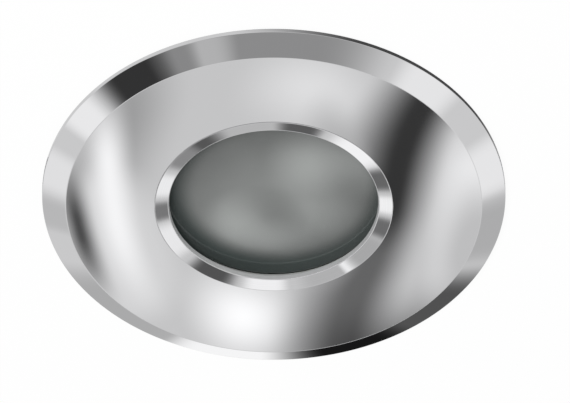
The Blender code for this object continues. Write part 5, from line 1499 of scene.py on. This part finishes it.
class DOWNLIGHT_OT_clips(Maker, bpy.types.Operator):
    """Make both spring clips: bent bracket, pin, wound spring, arm and sleeve"""

    bl_idname = "downlight.clips"
    bl_label = "Spring clips"

    def trimmed(self, item, side, reach):
        """Keeps what lies inside an outline in X and Z."""
        return carve(item, "INTERSECT", [upright(slab(side, -reach, reach))])

    def bracket(self, p):
        front, nose = p.bracket_back + p.bracket_sheet, p.pivot_out + p.ear_radius
        outer, inner, reach = p.ear_outer, p.ear_inner, p.ear_outer + OVERRUN
        half = [(nose, outer), (p.bracket_back, outer, p.ear_bend)]
        plan = half + [(x, -y, *more) for x, y, *more in half[::-1]]
        half = [(nose, -inner), (front, -inner, p.inner_bend)]
        plan += half + [(x, -y, *more) for x, y, *more in half[::-1]]
        item = slab(plan, p.bracket_low, p.bracket_high, TENTH)
        edge, back, fillet = front + TENTH / 5, p.bracket_back - OVERRUN, p.ear_fillet
        low, high = p.bracket_low - OVERRUN, p.bracket_high + OVERRUN
        side = [(back, low), (edge, low), (edge, p.pivot_height - p.ear_radius, fillet)]
        side += arc(p.ear_radius, -QUARTER_TURN, QUARTER_TURN, HOLE_STEPS, (p.pivot_out, p.pivot_height))
        side += [(edge, p.pivot_height + p.ear_radius, fillet), (edge, high), (back, high)]
        self.trimmed(item, side, reach)
        pin = upright(drum(p.hole_radius, -reach, reach, BORE_STEPS))
        screw = drum(settings().box.hole_radius, -OVERRUN, p.bracket_sheet + OVERRUN)
        moved(screw, aimed(1, p.bracket_back, p.screw_height))
        return cut(item, shifted(pin, p.pivot_out, 0, p.pivot_height), screw)

    def pin(self, p):
        end = p.ear_outer + GAP
        tip = end + p.pin_head_length
        half = stairs((0, tip, p.pin_head, end, p.pin_radius), (0, 5 * TENTH, TENTH, 0))
        outline = half + [(radius, -height, edge) for radius, height, edge in half[::-1]]
        return upright(turned(outline, BORE_STEPS))

    def spring_line(self, p, turns=40):
        """Foot up the bracket, turns about Y, then the leg that presses on the arm."""
        last = HALF_TURN + FULL_TURN * p.coil_turns - p.rest_slope
        count = round(p.coil_turns * turns)
        line = [(-p.coil_radius, -p.coil_half, p.spring_foot * s) for s in (1.0, 0.5)]
        for i, (x, z) in enumerate(arc(p.coil_radius, HALF_TURN, last, count)):
            line.append((x, -p.coil_half + 2 * p.coil_half * i / count, z))
        x, y, z = line[-1]
        for reach in (p.spring_leg / 2, p.spring_leg):
            line.append((x + reach * math.cos(p.rest_slope), y, z - reach * math.sin(p.rest_slope)))
        return line

    def arm(self, p):
        top, bend, tight = p.lug_radius + OVERRUN, p.lug_bend, 3 * TENTH
        outer, inner, reach = p.lug_outer, p.lug_inner, p.lug_outer + OVERRUN
        across = [(outer, top), (outer, p.arm_bottom, bend), (-outer, p.arm_bottom, bend), (-outer, top)]
        across += [(-inner, top), (-inner, p.arm_top, tight), (inner, p.arm_top, tight), (inner, top)]
        item = slab(across[::-1], -p.lug_radius - OVERRUN, p.arm_length, TENTH)
        moved(item, Matrix(((0, 0, 1, 0), (1, 0, 0, 0), (0, 1, 0, 0), (0, 0, 0, 1))))
        edge, low, end = p.arm_top + TENTH / 5, p.arm_bottom - OVERRUN, p.arm_length + OVERRUN
        side = [(end, low), (end, edge), (p.lug_foot, edge, OVERRUN)]
        side += arc(p.lug_radius, *LUG_ARC, BORE_STEPS)
        side += [(-p.arm_heel, p.arm_top + OVERRUN), (-p.arm_heel, low)]
        self.trimmed(item, side, reach)
        rise = tight * BEAD_SHARE
        bead = rectangle(p.bead_length, p.bead_width, p.bead_round, p.bead_middle)
        join(item, slab(bead, p.arm_top - tight, p.arm_top + rise, tight * BEAD_ROUND_SHARE))
        dent = slab(bead, p.arm_bottom - OVERRUN, p.arm_bottom + rise)
        return cut(item, dent, upright(drum(p.hole_radius, -reach, reach, BORE_STEPS)))

    def sleeve(self, p):
        wall, start, end = p.sleeve_wall, p.sleeve_start, p.arm_length + GAP
        half, low, high = p.lug_outer + GAP, p.arm_bottom - GAP, p.arm_top + GAP
        near, far = (start, -half - wall, low - wall), (end + wall, half + wall, high + wall)
        cutters = [block((start - OVERRUN, -half, low), (end, half, high), 3 * TENTH)]
        for i in range(p.grooves):
            for height in (low - wall, high + wall):
                bar = upright(drum(p.groove_radius, -half - 2 * wall, half + 2 * wall, GROOVE_STEPS))
                x = start + p.groove_first + p.groove_spacing * i
                cutters.append(shifted(bar, x, 0, height))
        return cut(block(near, far, p.sleeve_round, 5), *cutters)

    def execute(self, context):
        p = settings().clips
        for word, side in SIDES:
            spin = Matrix.Rotation(HALF_TURN if side < 0 else 0.0, 4, "Z")
            pivot = spin @ Matrix.Translation((p.pivot_out, 0, p.pivot_height))
            rest = pivot @ Matrix.Rotation(p.rest_slope, 4, "Y")
            arm = word + "_arm"
            for stem, item, place, slot, body in (
                ("clip_bracket_", self.bracket(p), spin, "zinc_plated_steel", "root"),
                ("clip_pin_", self.pin(p), pivot, "spring_steel", "root"),
                ("clip_arm_", self.arm(p), rest, "zinc_plated_steel", arm),
                ("clip_sleeve_", self.sleeve(p), rest, "black_silicone", arm),
            ):
                dress(moved(item, place), slot, stem + word, body=body)
            line = [pivot @ Vector(point) for point in self.spring_line(p)]
            node = "clip_spring_" + word
            spring = smooth(wire(line, p.wire_radius, "spring_steel", SPRING_SIDES), node + "_piece")
            start, end = (pivot @ Vector((0, y, 0)) for y in (-p.coil_half, p.coil_half))
            tuple(start)
            tuple(end)
            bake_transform(spring)
            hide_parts(node)
        return {"FINISHED"}


# Studio

CHAMFER_TILT = 27.8
RING_TILT = -10.53
RIM_TILT = 90.0
CARD_CORE = 0.12

# Cards and flags that the chamfer mirrors: clock place, half width there, and level
CHAMFER_CARDS = (
    (91.8, 36.1, 0.32), (12.2, 12.2, 0.98), (46.5, 11.3, 0.97), (110.4, 11.7, 0.54), (116.3, 7.5, 0.30),
    (128.9, 13.2, 0.04), (148.1, 7.5, 1.01), (169.9, 9.4, 0.92), (185.2, 7.5, 0.59), (225.1, 26.9, 0.49),
    (257.7, 19.2, 1.09), (313.2, 28.7, 0.10), (290.5, 19.7, 0.01), (349.3, 15.5, 0.51),
)

# Cards and flags that the ring mirrors
RING_CARDS = (
    (103.8, 22.4, 0.60), (42.6, 18.0, 1.17), (0.7, 7.8, 1.14), (18.8, 10.5, 0.17), (75.9, 14.3, 0.13),
    (133.2, 18.8, 0.12), (143.2, 12.2, 0.32), (165.4, 10.4, 1.09), (183.7, 8.6, 0.24), (205.1, 14.8, 1.06),
    (236.5, 16.0, 0.11), (265.6, 13.3, 1.14), (299.8, 18.8, 0.57), (313.9, 7.5, 1.30), (324.7, 16.3, 0.51),
    (344.3, 9.1, 0.19),
)

# The flag that the rim's wall mirrors
RIM_CARDS = ((50, 52, 0.07),)

# The card that the face mirrors: its own level, then soft patches as centre, reach, level and flat share
FACE_LEVEL = 0.69
FACE_PATCHES = (
    ((9.2, -36.1), (23.2, 25.6), 0.91, 0.0),
    ((-40.1, -29.2), (20.5, 41.9), 0.40, 0.0),
    ((-44.5, 11.4), (27.7, 28.6), 0.80, 0.59),
    ((-7.8, 27.1), (17.4, 24.6), 1.24, 0.0),
    ((53.8, 7.5), (19.3, 44.3), 1.11, 0.33),
    ((54.1, 12.5), (19.9, 30.9), 0.64, 0.30),
)

# Streaks: place across, lean, half width, flat half, middle, reach, full reach and level
FACE_STREAKS = (
    (-38.9, 0.214, 9.1, 0.0, -6.5, 40.5, 7.4, 1.14),
    (-51.8, 0.259, 6.7, 0.2, 3.8, 29.2, 2.0, 0.08),
)

# The curved dark band: its middle line's terms in v, its left and right edges, where its level rises and how
BAND_LINE = (23.63, 0.3204, 0.00397)
BAND_EDGES = ((-19.9, -1.0), (15.8, 2.0))
BAND_RISE = (-2.1, 9.4)
BAND_LEVELS = (0.041, 0.115)

# Patches laid over that band
FACE_SHADES = (
    ((40.1, 49.1), (48.3, 33.9), 0.0, 0.0),
    ((12.8, -9.4), (10.0, 30.4), 0.53, 0.0),
)

# Lamps: name, place, height of the target, diameter and power
LAMPS = (
    ("low_lamp", (-0.3, -0.5, -0.7), 0.0, 0.5, 6.0),
    ("high_lamp", (0.35, -0.4, 0.8), 0.04, 0.5, 7.0),
    ("rear_lamp", (-0.5, 0.45, 0.5), 0.04, 0.4, 3.0),
)
BOARD_COLOUR = (0.82, 0.82, 0.82, 1)


def camera_sight():
    turn = settings().studio.elevation
    return Vector((0, math.cos(turn), -math.sin(turn)))


def mirrored(clock, tilt):
    """The way that the camera sees mirrored in a cone on the light's front, at that clock place.

    Clock runs from +X by the top of the view, and both are in degrees.
    """
    clock, tilt, sight = math.radians(clock), math.radians(tilt), camera_sight()
    across, depth = math.cos(clock), -math.sin(clock)
    normal = Vector((across * math.sin(tilt), depth * math.sin(tilt), -math.cos(tilt)))
    return sight - 2 * sight.dot(normal) * normal


def paint_world(bench):
    """White to the camera, plain soft light on everything, and studio cards in polished metal."""
    studio = settings().studio
    way = bench.add("TexCoord")
    level = studio.mirror_level
    for cards, tilt in ((CHAMFER_CARDS, CHAMFER_TILT), (RING_CARDS, RING_TILT), (RIM_CARDS, RIM_TILT)):
        for clock, reach, card_level in cards:
            centre = mirrored(clock, tilt)
            ends = (mirrored(clock + side * reach, tilt) for side in (-1, 1))
            edge = math.cos(sum(centre.angle(end) for end in ends) / 2)
            near = bench.add("VectorMath", {0: way, 1: centre}, 1, operation="DOT_PRODUCT")
            level = near.between(edge, 1.0 - (1.0 - edge) * CARD_CORE) * (card_level - level) + level
    path = bench.add("LightPath")
    room, cards, white = (
        bench.add("Background", {"Color": WHITE, "Strength": strength})
        for strength in (studio.room_level, level, 1.0)
    )
    mixed = bench.mix(path.out("Is Camera Ray"), bench.mix(path.out("Is Glossy Ray"), room, cards), white)
    bench.add("OutputWorld", {"Surface": mixed})


def paint_ceiling(bench):
    """White to the camera with a trace of shadow; clear from above, so that the back can be seen."""
    plain = bench.add("BsdfDiffuse", {"Color": BOARD_COLOUR})
    white = bench.add("Emission", {"Color": WHITE, "Strength": 1.0})
    seen = bench.add("LightPath").out("Is Camera Ray")
    shown = bench.mix(seen * (1.0 - settings().studio.shadow), plain, white)
    behind = bench.add("NewGeometry").out("Backfacing")
    bench.close(bench.mix(behind * seen, shown, bench.add("BsdfTransparent")))


def paint_card(bench):
    """The card that the flat face mirrors: x and y on it match places on the face, in millimetres."""
    x, y, z = bench.place()
    u, v = x / MM, y / MM

    def over(base, cover, amount):
        return base + cover * (amount - base)

    def patch(base, centre, reach, amount, core):
        away = distance((u - centre[0]) / reach[0], (v - centre[1]) / reach[1])
        return over(base, away.between(1.0, core), amount)

    level = FACE_LEVEL
    for soft in FACE_PATCHES:
        level = patch(level, *soft)
    for place, lean, half, flat, middle, reach, full, amount in FACE_STREAKS:
        across = (u - place - v * lean).size().between(half, flat)
        level = over(level, across * (v - middle).size().between(reach, full), amount)
    away = u - (BAND_LINE[0] - BAND_LINE[1] * v + BAND_LINE[2] * v * v)
    left, right = (away.between(*edge) for edge in BAND_EDGES)
    level = over(level, left * right, v.between(*BAND_RISE) * BAND_LEVELS[1] + BAND_LEVELS[0])
    for soft in FACE_SHADES:
        level = patch(level, *soft)
    bench.close(bench.add("Emission", {"Color": WHITE, "Strength": level}))


def placed(name, data, place, way):
    """A lamp or camera that looks along way."""
    item = linked(name, data)
    item.location = place
    item.rotation_mode = "QUATERNION"
    item.rotation_quaternion = way.to_track_quat("-Z", "Y")
    return item


class DOWNLIGHT_OT_stage(Maker, bpy.types.Operator):
    """Make the ceiling board, the cards, the lamps and the camera"""

    bl_idname = "downlight.stage"
    bl_label = "Stage"

    def board(self, s):
        shape = bmesh.new()
        inner, outer = (
            [shape.verts.new((x, y, s.ceiling_height)) for x, y in circle(OVAL_STEPS, radius)]
            for radius in (s.cutout_radius, s.ceiling_radius)
        )
        for i in range(OVAL_STEPS):
            j = (i + 1) % OVAL_STEPS
            shape.faces.new((inner[i], inner[j], outer[j], outer[i]))
        board = as_object(shape, outward=False)
        board.name = "ceiling_board"
        board.data.materials.append(painted("ceiling_paint", paint_ceiling))
        board.visible_glossy = False
        return board

    def card(self, s):
        """The oval that the flat face mirrors, square to what the camera sees there."""
        shape = bmesh.new()
        oval = [(x * s.card_half_x, y * s.card_half_y, 0) for x, y in circle(OVAL_STEPS)]
        shape.faces.new([shape.verts.new(place) for place in oval])
        card = as_object(shape, outward=False)
        card.name = "face_card"
        way, across = mirrored(0, 0), Vector((1, 0, 0))
        basis = Matrix((across, across.cross(way), way)).transposed().to_4x4()
        card.matrix_world = Matrix.Translation(way * s.card_distance) @ basis
        card.data.materials.append(painted("face_card_light", paint_card))
        for flag in ("camera", "diffuse", "shadow", "transmission", "volume_scatter"):
            setattr(card, "visible_" + flag, False)
        return card

    def execute(self, context):
        s, scene = settings().studio, context.scene
        self.board(s)
        self.card(s)
        for name, place, target, side, power in LAMPS:
            data = bpy.data.lights.new(name, "AREA")
            data.shape = "DISK"
            data.size = side
            data.energy = power
            lamp = placed(name, data, place, Vector((0, 0, target)) - Vector(place))
            lamp.visible_camera = lamp.visible_glossy = False
        data = bpy.data.cameras.new("camera")
        data.lens = s.lens
        place = Vector((s.aim_x, s.aim_y, s.aim_z)) - camera_sight() * s.distance
        scene.camera = placed("camera", data, place, camera_sight())
        scene.world = bpy.data.worlds.new("studio")
        scene.world.use_nodes = True
        paint_world(Bench(scene.world.node_tree))
        scene.view_settings.view_transform = "Standard"
        return {"FINISHED"}


OPERATORS = (
    DOWNLIGHT_OT_finishes, DOWNLIGHT_OT_trim_plate, DOWNLIGHT_OT_gasket, DOWNLIGHT_OT_glass_ring,
    DOWNLIGHT_OT_window, DOWNLIGHT_OT_lamp, DOWNLIGHT_OT_holder, DOWNLIGHT_OT_can, DOWNLIGHT_OT_screws,
    DOWNLIGHT_OT_terminal_box, DOWNLIGHT_OT_terminals, DOWNLIGHT_OT_gland, DOWNLIGHT_OT_clips,
    DOWNLIGHT_OT_stage,
)


class DOWNLIGHT_PT_panel(bpy.types.Panel):
    """Lists the sizes, the colours and the operators"""

    bl_idname = "DOWNLIGHT_PT_panel"
    bl_label = "Recessed downlight"
    bl_space_type = "VIEW_3D"
    bl_region_type = "UI"
    bl_category = "Downlight"

    def draw(self, context):
        light = settings()
        for title in RecessedLight.__annotations__:
            group = getattr(light, title)
            box = self.layout.box()
            box.label(text=label(title))
            for name in type(group).__annotations__:
                box.prop(group, name)
        for operator in OPERATORS:
            self.layout.operator(operator.bl_idname)


CLASSES = (
    PlateSizes, RingSizes, WindowSizes, LampSizes, HolderSizes, CanSizes, BoxSizes, GlandSizes, ScrewSizes,
    ClipSizes, FinishColours, StudioSettings, RecessedLight, *OPERATORS, DOWNLIGHT_PT_panel,
)


def register():
    for item in CLASSES:
        bpy.utils.register_class(item)
    bpy.types.Scene.recessed_light = bpy.props.PointerProperty(type=RecessedLight)


def unregister():
    del bpy.types.Scene.recessed_light
    for item in reversed(CLASSES):
        bpy.utils.unregister_class(item)


def main():
    register()
    for operator in OPERATORS:
        group, name = operator.bl_idname.split(".")
        getattr(getattr(bpy.ops, group), name)()


if __name__ == "__main__":
    main()
